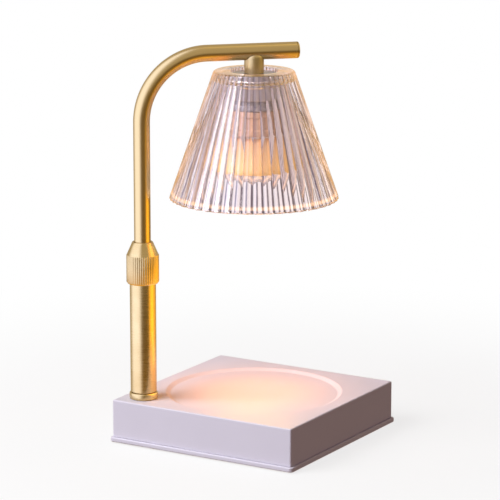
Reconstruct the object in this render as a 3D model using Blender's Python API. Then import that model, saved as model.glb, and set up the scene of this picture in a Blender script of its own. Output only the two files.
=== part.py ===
"""Warmer lamp with a height-adjustable swing arm, a reeded glass shade and a twist-lock bulb.

Metres, +Z up. The origin is the middle of the base, on the surface that the lamp stands on. The
base's sides face X and Y, the post stands near the (-X, -Y) corner, and the arm reaches along the
diagonal, so that the shade hangs over the middle of the base.
"""

import math

import bmesh
import bpy
from mathutils import Vector

# Clearances and counts shared by all pieces
GAP = 0.0003
OVERRUN = 0.002
MERGE = 0.000001
FINE = 48
MEDIUM = 32
SMALL = 24
TINY = 12
ARC_STEPS = 2

# Base housing, base plate and feet
BASE_SIDE = 0.150
BASE_CORNER = 0.0012
HOUSING_HEIGHT = 0.0275
HOUSING_WALL = 0.0025
HOUSING_TOP_WALL = 0.0040
HOUSING_TOP_FILLET = 0.0011
PLATE_OVERHANG = 0.0019
PLATE_THICK = 0.0035
PLATE_CORNER = 0.0030
PLATE_FILLET = 0.0008
FOOT_RADIUS = 0.0070
FOOT_THICK = 0.0022
FOOT_PROUD = 0.0010
FOOT_INSET = 0.0150
FOOT_FILLET = 0.0003

# Recess for what the lamp warms
RECESS_MARGIN = 0.0103
RECESS_DEPTH = 0.0018
RECESS_SLOPE = 0.0034

# Fasteners in the base
BOSS_RADIUS = 0.0050
BOSS_IN_WALL = 0.0005
PILOT_RADIUS = 0.0018
PILOT_DEPTH = 0.0120
SCREW_RADIUS = 0.0015
SCREW_HEAD_RADIUS = 0.0028
SCREW_HEAD_HEIGHT = 0.0017
SCREW_LENGTH = 0.0120
SCREW_SLOT = 0.0007
SCREW_SLOT_DEPTH = 0.0008

# Ballast plate
BALLAST_BLOCK_GAP = 0.0055
BALLAST_THICK = 0.0100
BALLAST_CORNER = 0.0040
BALLAST_SCREW_INSET = 0.0140

# Terminal block
BLOCK_WIDTH = 0.0140
BLOCK_LENGTH = 0.0260
BLOCK_HEIGHT = 0.0130
BLOCK_EDGE = 0.0010
BLOCK_WALL_GAP = 0.0040
WELL_RADIUS = 0.0024
WELL_DEPTH = 0.0050
WELL_SPACING = 0.0100
TERMINAL_SCREW_RADIUS = 0.0020
TERMINAL_SCREW_HEIGHT = 0.0035

# Cord gland
GLAND_BORE = 0.0035
GLAND_RADIUS = 0.0052
GLAND_FLANGE_RADIUS = 0.0075
GLAND_FLANGE_THICK = 0.0015
GLAND_FLANGE_FILLET = 0.0006
GLAND_THREAD_LENGTH = 0.0080
GLAND_NUT_RADIUS = 0.0085
GLAND_NUT_THICK = 0.0030
GLAND_ALONG_WALL = 0.0250

# Post
POST_WALL = 0.0012
POST_VISIBLE_TOP = 0.0982
FOOT_RING_PROUD = 0.0008
FOOT_RING_HEIGHT = 0.0047
FOOT_RING_FILLET = 0.0008
SPIGOT_SHOULDER = 0.0010
SPIGOT_WALL = 0.0015
SPIGOT_BELOW_NUT = 0.0050
POST_STEP = 0.0020
POST_EDGE = 0.0004
WASHER_WIDTH = 0.0035
WASHER_THICK = 0.0012
WASHER_WALL_GAP = 0.0010
LOCK_NUT_WIDTH = 0.0030
LOCK_NUT_HEIGHT = 0.0060

# Clamp nut and collet
NUT_OVER_POST = 0.0122
NUT_WALL = 0.0020
NUT_CHAMFER = 0.0008
NUT_TOP_WALL = 0.0040
NUT_CONE_HEIGHT = 0.0094
NUT_CONE_WALL = 0.0013
KNURL_COUNT = 40
KNURL_DEPTH = 0.00035
COLLET_SEAT = 0.0062
COLLET_CONE = 0.0075
COLLET_TOP_WALL = 0.0009
COLLET_SPIGOT = 0.0047
COLLET_SLOT = 0.0008
COLLET_SLOTS = 4

# Arm
ARM_RADIUS = 0.0060
ARM_WALL = 0.0010
ARM_ABOVE_POST = 0.1532
ARM_BEND = 0.0480
ARM_BEYOND_SHADE = 0.0328
ARM_IN_POST = 0.0495
ARM_SIDES = 20
ARM_BEND_STEPS = 10
LEAD_HOLE_RADIUS = 0.0032
CAP_THICK = 0.0012
CAP_FILLET = 0.0007
CAP_SPIGOT = 0.0050
BUSH_WALL = 0.0017
BUSH_HEIGHT = 0.0120
BUSH_LIP = 0.0010
RETAINER_THICK = 0.0010
RETAINER_WIDTH = 0.0013
TRAVEL_SPARE = 0.0011

# Neck and nipple
NECK_RADIUS = 0.0071
NECK_SHOULDER = 0.0022
NECK_BELOW_AXIS = 0.0016
NECK_EDGE = 0.0004
NIPPLE_RADIUS = 0.0050
NIPPLE_BORE = 0.0030
NIPPLE_IN_NECK = 0.0070
NIPPLE_BELOW_CUP = 0.0045
NIPPLE_NUT_HEIGHT = 0.0028

# Shade
SHADE_BELOW_ARM = 0.0138
SHADE_HEIGHT = 0.0930
SHADE_TOP_RADIUS = 0.0292
SHADE_ARM_GAP = 0.01503
SHADE_WALL = 0.0032
SHADE_HOLE_GAP = 0.0005
SHADE_FLANGE = 0.0069
RIB_COUNT = 48
RIB_STEPS = 4
RIB_DEPTH_SHARE = 0.15

# Holder cup and shade ring
CUP_RADIUS = 0.0170
CUP_WALL = 0.0012
CUP_TOP_WALL = 0.0015
CUP_BELOW_RIM = 0.0020
CUP_HEIGHT = 0.0180
CUP_FILLET = 0.0008
RING_WIDTH = 0.0057
RING_HEIGHT = 0.0030
RING_EDGE = 0.0007

# Lamp holder
HOLDER_CUP_GAP = 0.0023
HOLDER_SHOULDER = 0.0010
HOLDER_BODY = 0.0160
HOLDER_EDGE = 0.0008
HOLDER_DROP = 0.0086
PILLAR_RADIUS = 0.0024
PILLAR_EDGE = 0.0004
HOLDER_SCREW_SPAN = 0.0140
LEAD_SOCKET_DEPTH = 0.0060

# Bulb
PIN_SPREAD = 0.0050
PIN_RADIUS = 0.0012
PIN_HEAD_RADIUS = 0.0023
PIN_HEAD_HEIGHT = 0.0018
PIN_LENGTH = 0.0062
PIN_SEAT = 0.0040
PIN_ROOM = 0.0012
BULB_TWIST = 25.0
PIN_SLOT_STEPS = 6
BULB_BASE_RADIUS = 0.0125
BULB_BASE_HEIGHT = 0.0185
BULB_BASE_EDGE = 0.0010
BULB_SOCKET_RADIUS = 0.0082
BULB_SOCKET_DEPTH = 0.0070
REFLECTOR_RADIUS = 0.0250
REFLECTOR_HEIGHT = 0.0255
REFLECTOR_WALL = 0.0011
REFLECTOR_RIM = 0.0028
REFLECTOR_STEPS = 5
REFLECTOR_THROAT_HEIGHT = 0.0015
LENS_THICK = 0.0014
LENS_DOME = 0.0008
CAPSULE_RADIUS = 0.0042
CAPSULE_LENGTH = 0.0200
CAPSULE_TIP = 0.0036

# Inner lead
LEAD_RADIUS = 0.0015
LEAD_BEND = 0.0050
LEAD_ELBOW = 0.0036
LEAD_SPACING = 0.0080
LEAD_CLEAR_OF_PLATE = 0.0040
LEAD_ARM_START = 0.0042
LEAD_LOWEST_ARM = 0.0006
SLACK_RADIUS = 0.0020
SLACK_TURNS = 2.0
SLACK_STEPS = 8

# Heights from the standing surface
PLATE_TOP = FOOT_PROUD + PLATE_THICK
HOUSING_BOTTOM = PLATE_TOP + GAP
BASE_TOP = HOUSING_BOTTOM + HOUSING_HEIGHT
HOUSING_CEILING = BASE_TOP - HOUSING_TOP_WALL
FOOT_RING_BOTTOM = BASE_TOP + GAP
FOOT_RING_TOP = FOOT_RING_BOTTOM + FOOT_RING_HEIGHT
WASHER_BOTTOM = HOUSING_CEILING - GAP - WASHER_THICK
LOCK_NUT_BOTTOM = WASHER_BOTTOM - GAP - LOCK_NUT_HEIGHT
SPIGOT_BOTTOM = LOCK_NUT_BOTTOM - SPIGOT_BELOW_NUT
POST_TOP = BASE_TOP + POST_VISIBLE_TOP
SPIGOT_TOP = FOOT_RING_TOP + GAP
POST_STEP_TOP = SPIGOT_TOP + POST_STEP
COLLET_BOTTOM = POST_TOP + GAP
COLLET_CONE_BOTTOM = COLLET_BOTTOM + COLLET_SEAT
COLLET_TOP = COLLET_CONE_BOTTOM + COLLET_CONE
NUT_LOW = POST_TOP - NUT_OVER_POST
NUT_TOP = COLLET_TOP + GAP + NUT_TOP_WALL
ARM_Z = POST_TOP + ARM_ABOVE_POST
ARM_LOW = POST_TOP - ARM_IN_POST
BUSH_LOW = ARM_LOW - GAP - BUSH_LIP
ARM_TRAVEL_DOWN = BUSH_LOW - POST_STEP_TOP - TRAVEL_SPARE
SHADE_RIM = ARM_Z - SHADE_BELOW_ARM
SHADE_MOUTH = SHADE_RIM - SHADE_HEIGHT
FLANGE_FACE = SHADE_RIM - SHADE_FLANGE
CUP_TOP = SHADE_RIM - CUP_BELOW_RIM
CUP_CEILING = CUP_TOP - CUP_TOP_WALL
NECK_LOW = CUP_TOP + GAP
HOLDER_TOP = CUP_CEILING - HOLDER_DROP
HOLDER_FACE = HOLDER_TOP - HOLDER_BODY
BULB_TOP = HOLDER_FACE - GAP
BULB_BASE_LOW = BULB_TOP - BULB_BASE_HEIGHT
REFLECTOR_TOP = BULB_BASE_LOW + BULB_SOCKET_DEPTH - GAP
REFLECTOR_LOW = BULB_BASE_LOW - REFLECTOR_HEIGHT

# Radii about the post's axis, each set by what it fits
ARM_BORE = ARM_RADIUS - ARM_WALL
ARM_HOLE = ARM_RADIUS + GAP
POST_BORE = ARM_HOLE + BUSH_WALL + GAP
POST_RADIUS = POST_BORE + POST_WALL
SPIGOT_RADIUS = POST_RADIUS - SPIGOT_SHOULDER
SPIGOT_BORE = SPIGOT_RADIUS - SPIGOT_WALL
FOOT_RING_RADIUS = POST_RADIUS + FOOT_RING_PROUD
WASHER_RADIUS = POST_RADIUS + WASHER_WIDTH
LOCK_NUT_RADIUS = POST_RADIUS + LOCK_NUT_WIDTH
NUT_RADIUS = POST_RADIUS + GAP + NUT_WALL
NUT_CONE_RADIUS = ARM_HOLE + NUT_CONE_WALL
RETAINER_RADIUS = ARM_HOLE + RETAINER_WIDTH

# Places across the base
HALF = BASE_SIDE / 2
INNER_HALF = HALF - HOUSING_WALL
POST_X = WASHER_RADIUS + WASHER_WALL_GAP - INNER_HALF
REACH = -POST_X * math.sqrt(2)
POST_AXIS = Vector((POST_X, POST_X, 0))
ARM_DIRECTION = Vector((1, 1, 0)).normalized()
ARM_TURN = math.radians(45)
BOSS_PLACE = INNER_HALF + BOSS_IN_WALL - BOSS_RADIUS
FOOT_PLACE = HALF - FOOT_INSET
RECESS_RADIUS = HALF - RECESS_MARGIN
BALLAST_SIDE = 2 * (INNER_HALF - BLOCK_WALL_GAP - BLOCK_WIDTH - BALLAST_BLOCK_GAP)

# Radii about the shade's axis, each set by what it fits
SHADE_BOTTOM_RADIUS = REACH - ARM_RADIUS - SHADE_ARM_GAP
SHADE_HOLE = CUP_RADIUS + SHADE_HOLE_GAP
RING_RADIUS = CUP_RADIUS + GAP + RING_WIDTH
HOLDER_RADIUS = CUP_RADIUS - CUP_WALL - HOLDER_CUP_GAP
HOLDER_SHOULDER_RADIUS = HOLDER_RADIUS - HOLDER_SHOULDER
PILLAR_SPREAD = HOLDER_SHOULDER_RADIUS - PILLAR_RADIUS - PILLAR_EDGE
NIPPLE_NUT_RADIUS = PILLAR_SPREAD - PILLAR_RADIUS - GAP


def clear_scene():
    for thing in list(bpy.data.objects):
        bpy.data.objects.remove(thing, do_unlink=True)


def principled(name, colour, roughness, metallic=0.0, transmission=0.0, emission=0.0):
    material = bpy.data.materials.new(name)
    material.use_nodes = True
    shader = material.node_tree.nodes["Principled BSDF"]
    shader.inputs["Base Color"].default_value = (*colour, 1)
    shader.inputs["Roughness"].default_value = roughness
    shader.inputs["Metallic"].default_value = metallic
    shader.inputs["Transmission Weight"].default_value = transmission
    shader.inputs["Emission Color"].default_value = (*colour, 1)
    shader.inputs["Emission Strength"].default_value = emission
    return material


def make_materials():
    return {
        "paint": principled("satin_white_paint", (0.72, 0.68, 0.72), 0.45),
        "brass": principled("brushed_brass", (0.72, 0.52, 0.26), 0.32, metallic=1.0),
        "glass": principled("clear_glass", (0.95, 0.90, 0.90), 0.05, transmission=1.0),
        "steel": principled("zinc_steel", (0.55, 0.55, 0.56), 0.40, metallic=1.0),
        "ceramic": principled("white_ceramic", (0.86, 0.83, 0.78), 0.55),
        "dark": principled("dark_moulding", (0.07, 0.07, 0.08), 0.55),
        "rubber": principled("grey_rubber", (0.16, 0.16, 0.16), 0.80),
        "mirror": principled("reflector_mirror", (0.92, 0.86, 0.76), 0.12, metallic=1.0),
        "lamp": principled("lit_capsule", (1.0, 0.80, 0.50), 0.30, emission=4.0),
        "sheath": principled("lead_sheath", (0.80, 0.78, 0.74), 0.60),
    }


def finish(obj, material):
    obj.data.materials.clear()
    obj.data.materials.append(material)
    return obj


def object_of(name, mesh, place=(0, 0, 0)):
    obj = bpy.data.objects.new(name, mesh)
    obj.location = place
    bpy.context.scene.collection.objects.link(obj)
    return obj


def mesh_of(name, shape, sharp_degrees=35):
    bmesh.ops.remove_doubles(shape, verts=shape.verts, dist=MERGE)
    bmesh.ops.recalc_face_normals(shape, faces=shape.faces)
    mesh = bpy.data.meshes.new(name)
    shape.to_mesh(mesh)
    shape.free()
    mesh.shade_smooth()
    mesh.set_sharp_from_angle(angle=math.radians(sharp_degrees))
    return mesh


def rounded(corners, steps=ARC_STEPS):
    """The closed outline through corners (a, b, fillet), with an arc in place of each filleted corner."""
    outline = []
    for index, (a, b, fillet) in enumerate(corners):
        here = Vector((a, b))
        if fillet == 0:
            outline.append(here)
            continue
        before = Vector(corners[index - 1][:2]) - here
        after = Vector(corners[(index + 1) % len(corners)][:2]) - here
        before.normalize()
        after.normalize()
        half_angle = before.angle(after) / 2
        back = fillet / math.tan(half_angle)
        centre = here + (before + after).normalized() * (fillet / math.sin(half_angle))
        start = here + before * back - centre
        end = here + after * back - centre
        turn = start.angle_signed(end)
        for step in range(steps + 1):
            angle = -turn * step / steps
            arm = Vector((start.x * math.cos(angle) - start.y * math.sin(angle),
                          start.x * math.sin(angle) + start.y * math.cos(angle)))
            outline.append(centre + arm)
    return outline


def turned(name, corners, sides):
    """A turned piece: its section, given as corners (radius, height, fillet), spun about Z."""
    shape = bmesh.new()
    ring = [shape.verts.new((p.x, 0, p.y)) for p in rounded(corners)]
    edges = [shape.edges.new((ring[i - 1], ring[i])) for i in range(len(ring))
             if ring[i - 1].co.x > 0 or ring[i].co.x > 0]
    bmesh.ops.spin(shape, geom=ring + edges, cent=(0, 0, 0), axis=(0, 0, 1),
                   angle=2 * math.pi, steps=sides, use_duplicate=False)
    return mesh_of(name, shape)


def prism(name, outline, low, high):
    """An outline in the XY plane, extruded from low to high."""
    shape = bmesh.new()
    face = shape.faces.new([shape.verts.new((p[0], p[1], low)) for p in outline])
    raised = bmesh.ops.extrude_face_region(shape, geom=[face])["geom"]
    rising = [v for v in raised if isinstance(v, bmesh.types.BMVert)]
    bmesh.ops.translate(shape, verts=rising, vec=(0, 0, high - low))
    return mesh_of(name, shape)


def rectangle(width, depth, corner):
    x, y = width / 2, depth / 2
    return rounded([(-x, -y, corner), (x, -y, corner), (x, y, corner), (-x, y, corner)])


def polygon(radius, sides):
    return [(radius * math.cos(2 * math.pi * k / sides), radius * math.sin(2 * math.pi * k / sides))
            for k in range(sides)]


def rod(name, radius, low, high, sides=SMALL):
    return prism(name, polygon(radius, sides), low, high)


def tube(name, bore, radius, low, high, sides, edge=0.0):
    return turned(name, [(bore, low, 0), (radius, low, edge), (radius, high, edge), (bore, high, 0)], sides)


def helper(name, mesh, place=(0, 0, 0)):
    obj = object_of(name, mesh, place)
    obj.hide_render = True
    obj.display_type = "WIRE"
    return obj


def boolean(obj, other, operation="DIFFERENCE"):
    modifier = obj.modifiers.new(other.name, "BOOLEAN")
    modifier.operation = operation
    modifier.object = other
    modifier.solver = "EXACT"


def bevel(obj, width, angle_degrees=60, segments=2):
    modifier = obj.modifiers.new("edges", "BEVEL")
    modifier.width = width
    modifier.segments = segments
    modifier.limit_method = "ANGLE"
    modifier.angle_limit = math.radians(angle_degrees)


def lead_along(name, route):
    """A length of lead along a route of points, with closed ends."""
    curve = bpy.data.curves.new(name, "CURVE")
    curve.dimensions = "3D"
    curve.bevel_depth = LEAD_RADIUS
    curve.bevel_resolution = 2
    curve.use_fill_caps = True
    spline = curve.splines.new("POLY")
    spline.points.add(len(route) - 1)
    for point, place in zip(spline.points, route):
        point.co = (*place, 1)
    return curve


def four_corners(distance):
    return [(x * distance, y * distance) for x in (-1, 1) for y in (-1, 1)]


def four_sides(distance):
    return [(distance, 0), (0, distance), (-distance, 0), (0, -distance)]


def screw_mesh(length):
    """A slotted screw, head down, its head's lower face at zero."""
    head = SCREW_HEAD_HEIGHT
    return turned("screw", [(0, 0, 0), (SCREW_HEAD_RADIUS, 0, SCREW_SLOT), (SCREW_HEAD_RADIUS, head, 0),
                            (SCREW_RADIUS, head, 0), (SCREW_RADIUS, head + length, 0),
                            (0, head + length, 0)], TINY)


def add_screw(name, mesh, place, material):
    screw = finish(object_of(name, mesh, place), material)
    depth = SCREW_SLOT_DEPTH + OVERRUN
    slot = prism("slot", rectangle(2 * SCREW_HEAD_RADIUS + OVERRUN, SCREW_SLOT, 0), -OVERRUN, depth - OVERRUN)
    boolean(screw, helper(name + "_slot", slot, place))
    return screw


def screw_holes(obj, name, places, head_face, through):
    """Clearance holes with counterbores from below, for the screws' shanks and heads."""
    deep = head_face + SCREW_HEAD_HEIGHT + GAP
    for index, (x, y) in enumerate(places, 1):
        hole = turned(name, [(0, head_face - OVERRUN, 0), (SCREW_HEAD_RADIUS + GAP, head_face - OVERRUN, 0),
                             (SCREW_HEAD_RADIUS + GAP, deep, 0), (PILOT_RADIUS, deep, 0),
                             (PILOT_RADIUS, through, 0), (0, through, 0)], TINY)
        boolean(obj, helper(f"{name}_{index}", hole, (x, y, 0)))


def make_base_plate(materials):
    side = BASE_SIDE + 2 * PLATE_OVERHANG
    outline = rectangle(side, side, PLATE_CORNER)
    plate = object_of("base_plate", prism("base_plate", outline, FOOT_PROUD, PLATE_TOP))
    finish(plate, materials["paint"])
    bevel(plate, PLATE_FILLET)
    for index, (x, y) in enumerate(four_corners(FOOT_PLACE), 1):
        seat = rod("foot_seat", FOOT_RADIUS + GAP, FOOT_PROUD - OVERRUN, FOOT_THICK + GAP)
        boolean(plate, helper(f"foot_seat_{index}", seat, (x, y, 0)))
    places = four_sides(BOSS_PLACE) + ballast_screw_places()
    screw_holes(plate, "plate_hole", places, FOOT_PROUD, PLATE_TOP + OVERRUN)


def ballast_screw_places():
    spread = BALLAST_SIDE / 2 - BALLAST_SCREW_INSET
    return [(spread, -spread), (-spread, spread)]


def make_feet(materials):
    mesh = turned("foot_pad", [(0, 0, 0), (FOOT_RADIUS, 0, FOOT_FILLET), (FOOT_RADIUS, FOOT_THICK, 0),
                               (0, FOOT_THICK, 0)], SMALL)
    for index, (x, y) in enumerate(four_corners(FOOT_PLACE), 1):
        finish(object_of(f"foot_pad_{index}", mesh, (x, y, 0)), materials["rubber"])


def recess_cutter():
    floor = BASE_TOP - RECESS_DEPTH
    over = BASE_TOP + OVERRUN
    return turned("recess", [(0, floor, 0), (RECESS_RADIUS - RECESS_SLOPE, floor, 0),
                             (RECESS_RADIUS, BASE_TOP, 0), (RECESS_RADIUS, over, 0), (0, over, 0)], FINE)


def make_housing(materials):
    outline = rectangle(BASE_SIDE, BASE_SIDE, BASE_CORNER)
    housing = object_of("base_housing", prism("base_housing", outline, HOUSING_BOTTOM, BASE_TOP))
    finish(housing, materials["paint"])
    top_bevel = housing.modifiers.new("top_edge", "BEVEL")
    top_bevel.width = HOUSING_TOP_FILLET
    top_bevel.segments = ARC_STEPS
    top_bevel.limit_method = "WEIGHT"
    weights = housing.data.attributes.new("bevel_weight_edge", "FLOAT", "EDGE")
    for edge in housing.data.edges:
        ends = [housing.data.vertices[v].co.z for v in edge.vertices]
        weights.data[edge.index].value = 1.0 if min(ends) > HOUSING_CEILING else 0.0
    inner_outline = rectangle(2 * INNER_HALF, 2 * INNER_HALF, BASE_CORNER)
    cavity = prism("cavity", inner_outline, HOUSING_BOTTOM - OVERRUN, HOUSING_CEILING)
    boolean(housing, helper("housing_cavity", cavity))
    boss_top = HOUSING_CEILING + HOUSING_TOP_WALL - RECESS_DEPTH - GAP
    boss = rod("boss", BOSS_RADIUS, HOUSING_BOTTOM, boss_top)
    pilot = rod("pilot", PILOT_RADIUS, HOUSING_BOTTOM - OVERRUN, HOUSING_BOTTOM + PILOT_DEPTH, TINY)
    for index, (x, y) in enumerate(four_sides(BOSS_PLACE), 1):
        boolean(housing, helper(f"boss_{index}", boss, (x, y, 0)), "UNION")
        boolean(housing, helper(f"pilot_{index}", pilot, (x, y, 0)))
    boolean(housing, helper("recess", recess_cutter()))
    post_hole = rod("post_hole", SPIGOT_RADIUS + GAP, HOUSING_CEILING - OVERRUN, BASE_TOP + OVERRUN, MEDIUM)
    boolean(housing, helper("post_hole", post_hole, POST_AXIS))
    gland_hole = helper("gland_hole", rod("gland_hole", GLAND_RADIUS + GAP, -OVERRUN, HOUSING_WALL + OVERRUN))
    place_in_wall(gland_hole)
    boolean(housing, gland_hole)


def place_in_wall(obj):
    """Turns a piece made along Z to run inwards from the outer face of the -X wall."""
    obj.rotation_euler = (0, math.pi / 2, 0)
    obj.location = (-HALF, GLAND_ALONG_WALL, (HOUSING_BOTTOM + HOUSING_CEILING) / 2)


def make_base_screws(materials):
    mesh = screw_mesh(SCREW_LENGTH)
    for index, (x, y) in enumerate(four_sides(BOSS_PLACE), 1):
        add_screw(f"base_screw_{index}", mesh, (x, y, FOOT_PROUD), materials["steel"])


def make_ballast(materials):
    low = PLATE_TOP + GAP
    outline = rectangle(BALLAST_SIDE, BALLAST_SIDE, BALLAST_CORNER)
    ballast = object_of("ballast_plate", prism("ballast_plate", outline, low, low + BALLAST_THICK))
    finish(ballast, materials["steel"])
    mesh = screw_mesh(BALLAST_THICK)
    hole = rod("ballast_hole", PILOT_RADIUS, low - OVERRUN, low + BALLAST_THICK + OVERRUN, TINY)
    for index, (x, y) in enumerate(ballast_screw_places(), 1):
        boolean(ballast, helper(f"ballast_hole_{index}", hole, (x, y, 0)))
        add_screw(f"ballast_screw_{index}", mesh, (x, y, FOOT_PROUD), materials["steel"])


def block_centre():
    """By the -X wall, in the middle of the room between the post's washer and the boss."""
    x = BLOCK_WALL_GAP + BLOCK_WIDTH / 2 - INNER_HALF
    y = (POST_X + WASHER_RADIUS - BOSS_RADIUS) / 2
    return Vector((x, y, PLATE_TOP + GAP))


def make_terminal_block(materials):
    outline = rectangle(BLOCK_WIDTH, BLOCK_LENGTH, BLOCK_EDGE)
    block = object_of("terminal_block", prism("terminal_block", outline, 0, BLOCK_HEIGHT), block_centre())
    finish(block, materials["ceramic"])
    well = rod("well", WELL_RADIUS, BLOCK_HEIGHT - WELL_DEPTH, BLOCK_HEIGHT + OVERRUN, TINY)
    screw = turned("terminal_screw", [(0, 0, 0), (TERMINAL_SCREW_RADIUS, 0, 0),
                                      (TERMINAL_SCREW_RADIUS, TERMINAL_SCREW_HEIGHT, BLOCK_EDGE / 2),
                                      (0, TERMINAL_SCREW_HEIGHT, 0)], TINY)
    for index, side in enumerate((-1, 1), 1):
        place = block_centre() + Vector((0, side * WELL_SPACING / 2, 0))
        boolean(block, helper(f"well_{index}", well, place))
        seat = place + Vector((0, 0, BLOCK_HEIGHT - WELL_DEPTH + GAP))
        finish(object_of(f"terminal_screw_{index}", screw, seat), materials["steel"])


def make_gland(materials):
    section = [(GLAND_BORE, -GAP - GLAND_FLANGE_THICK, 0),
               (GLAND_FLANGE_RADIUS, -GAP - GLAND_FLANGE_THICK, GLAND_FLANGE_FILLET),
               (GLAND_FLANGE_RADIUS, -GAP, 0), (GLAND_RADIUS, -GAP, 0),
               (GLAND_RADIUS, GLAND_THREAD_LENGTH, 0), (GLAND_BORE, GLAND_THREAD_LENGTH, 0)]
    gland = object_of("cord_gland", turned("cord_gland", section, SMALL))
    place_in_wall(gland)
    finish(gland, materials["dark"])
    low = HOUSING_WALL + GAP
    high = low + GLAND_NUT_THICK
    nut = object_of("gland_nut", prism("gland_nut", polygon(GLAND_NUT_RADIUS, 6), low, high))
    bore = helper("gland_nut_bore", rod("bore", GLAND_RADIUS + GAP, low - OVERRUN, high + OVERRUN))
    place_in_wall(nut)
    place_in_wall(bore)
    boolean(nut, bore)
    finish(nut, materials["dark"])


def make_post(materials):
    post = turned("post_tube", [(SPIGOT_BORE, SPIGOT_BOTTOM, 0), (SPIGOT_RADIUS, SPIGOT_BOTTOM, 0),
                                (SPIGOT_RADIUS, SPIGOT_TOP, 0), (POST_RADIUS, SPIGOT_TOP, POST_EDGE),
                                (POST_RADIUS, POST_TOP, POST_EDGE), (POST_BORE, POST_TOP, 0),
                                (POST_BORE, POST_STEP_TOP, 0), (SPIGOT_BORE, POST_STEP_TOP, 0)], MEDIUM)
    finish(object_of("post_tube", post, POST_AXIS), materials["brass"])
    hole = SPIGOT_RADIUS + GAP
    section = [(hole, FOOT_RING_BOTTOM, 0), (FOOT_RING_RADIUS, FOOT_RING_BOTTOM, POST_EDGE),
               (FOOT_RING_RADIUS, FOOT_RING_TOP, FOOT_RING_FILLET), (hole, FOOT_RING_TOP, 0)]
    ring = turned("post_foot_ring", section, MEDIUM)
    finish(object_of("post_foot_ring", ring, POST_AXIS), materials["brass"])
    washer = tube("post_washer", hole, WASHER_RADIUS, WASHER_BOTTOM, WASHER_BOTTOM + WASHER_THICK, MEDIUM)
    finish(object_of("post_washer", washer, POST_AXIS), materials["steel"])
    top = LOCK_NUT_BOTTOM + LOCK_NUT_HEIGHT
    hexagon = prism("post_lock_nut", polygon(LOCK_NUT_RADIUS, 6), LOCK_NUT_BOTTOM, top)
    nut = object_of("post_lock_nut", hexagon, POST_AXIS)
    bore = rod("lock_nut_bore", hole, LOCK_NUT_BOTTOM - OVERRUN, top + OVERRUN, MEDIUM)
    boolean(nut, helper("lock_nut_bore", bore, POST_AXIS))
    finish(nut, materials["steel"])


def make_clamp_nut(materials):
    """Knurled outside, with a chamfer below and a cone above; inside, a thread and a cone for the collet."""
    low = NUT_LOW + NUT_CHAMFER
    high = NUT_TOP - NUT_CONE_HEIGHT
    outside = [(0, NUT_LOW, 0), (NUT_RADIUS - NUT_CHAMFER, NUT_LOW, 0), (NUT_RADIUS, low, 0),
               (NUT_RADIUS, high, 0), (NUT_CONE_RADIUS, NUT_TOP, 0), (0, NUT_TOP, 0)]
    mesh = turned("clamp_nut", outside, 2 * KNURL_COUNT)
    for vertex in mesh.vertices:
        radius = vertex.co.xy.length
        line = round(math.atan2(vertex.co.y, vertex.co.x) / math.pi * KNURL_COUNT)
        if radius > NUT_RADIUS - GAP and line % 2:
            vertex.co.xy *= (radius - KNURL_DEPTH) / radius
    nut = finish(object_of("clamp_nut", mesh, POST_AXIS), materials["brass"])
    thread = POST_RADIUS + GAP
    ceiling = COLLET_TOP + GAP
    under = NUT_LOW - OVERRUN
    over = NUT_TOP + OVERRUN
    cone_end = ARM_HOLE + COLLET_TOP_WALL + GAP
    bore = turned("nut_bore", [(0, under, 0), (thread, under, 0), (thread, COLLET_CONE_BOTTOM, 0),
                               (cone_end, ceiling, 0), (ARM_HOLE, ceiling, 0), (ARM_HOLE, over, 0),
                               (0, over, 0)], MEDIUM)
    boolean(nut, helper("nut_bore", bore, POST_AXIS))


def make_collet(materials):
    spigot_low = COLLET_BOTTOM - COLLET_SPIGOT
    section = [(ARM_HOLE, spigot_low, 0), (POST_BORE - GAP, spigot_low, 0),
               (POST_BORE - GAP, COLLET_BOTTOM, 0), (POST_RADIUS, COLLET_BOTTOM, 0),
               (POST_RADIUS, COLLET_CONE_BOTTOM - GAP, 0), (ARM_HOLE + COLLET_TOP_WALL, COLLET_TOP, 0),
               (ARM_HOLE, COLLET_TOP, 0)]
    collet = object_of("clamp_collet", turned("clamp_collet", section, MEDIUM), POST_AXIS)
    finish(collet, materials["dark"])
    low = COLLET_BOTTOM + COLLET_SEAT / 2
    slot = prism("collet_slot", rectangle(2 * NUT_RADIUS, COLLET_SLOT, 0), low, COLLET_TOP + OVERRUN)
    for index in range(COLLET_SLOTS // 2):
        cutter = helper(f"collet_slot_{index + 1}", slot, POST_AXIS)
        cutter.rotation_euler = (0, 0, ARM_TURN + 2 * math.pi * index / COLLET_SLOTS)
        boolean(collet, cutter)


def make_guide(materials):
    """The bush that carries the arm's lower end, and the ring that keeps it there."""
    bush_top = BUSH_LOW + BUSH_HEIGHT
    section = [(ARM_BORE, BUSH_LOW, 0), (POST_BORE - GAP, BUSH_LOW, 0), (POST_BORE - GAP, bush_top, 0),
               (ARM_HOLE, bush_top, 0), (ARM_HOLE, ARM_LOW - GAP, 0), (ARM_BORE, ARM_LOW - GAP, 0)]
    finish(object_of("guide_bush", turned("guide_bush", section, MEDIUM), POST_AXIS), materials["dark"])
    ring_low = bush_top + GAP
    ring_high = ring_low + RETAINER_THICK
    ring = tube("retaining_ring", ARM_HOLE, RETAINER_RADIUS, ring_low, ring_high, SMALL)
    finish(object_of("retaining_ring", ring, POST_AXIS), materials["steel"])


def arm_point(along, height):
    return POST_AXIS + ARM_DIRECTION * along + Vector((0, 0, height))


def arm_sections(start, end):
    """The arm's middle line from start up round the bend to end, as pairs (point, direction)."""
    up = Vector((0, 0, 1))
    rows = [(arm_point(0, start), up)]
    for step in range(ARM_BEND_STEPS + 1):
        angle = math.pi / 2 * step / ARM_BEND_STEPS
        along = ARM_BEND * (1 - math.cos(angle))
        height = ARM_Z - ARM_BEND * (1 - math.sin(angle))
        rows.append((arm_point(along, height), up * math.cos(angle) + ARM_DIRECTION * math.sin(angle)))
    rows.append((arm_point(end, ARM_Z), ARM_DIRECTION.copy()))
    return rows


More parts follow.
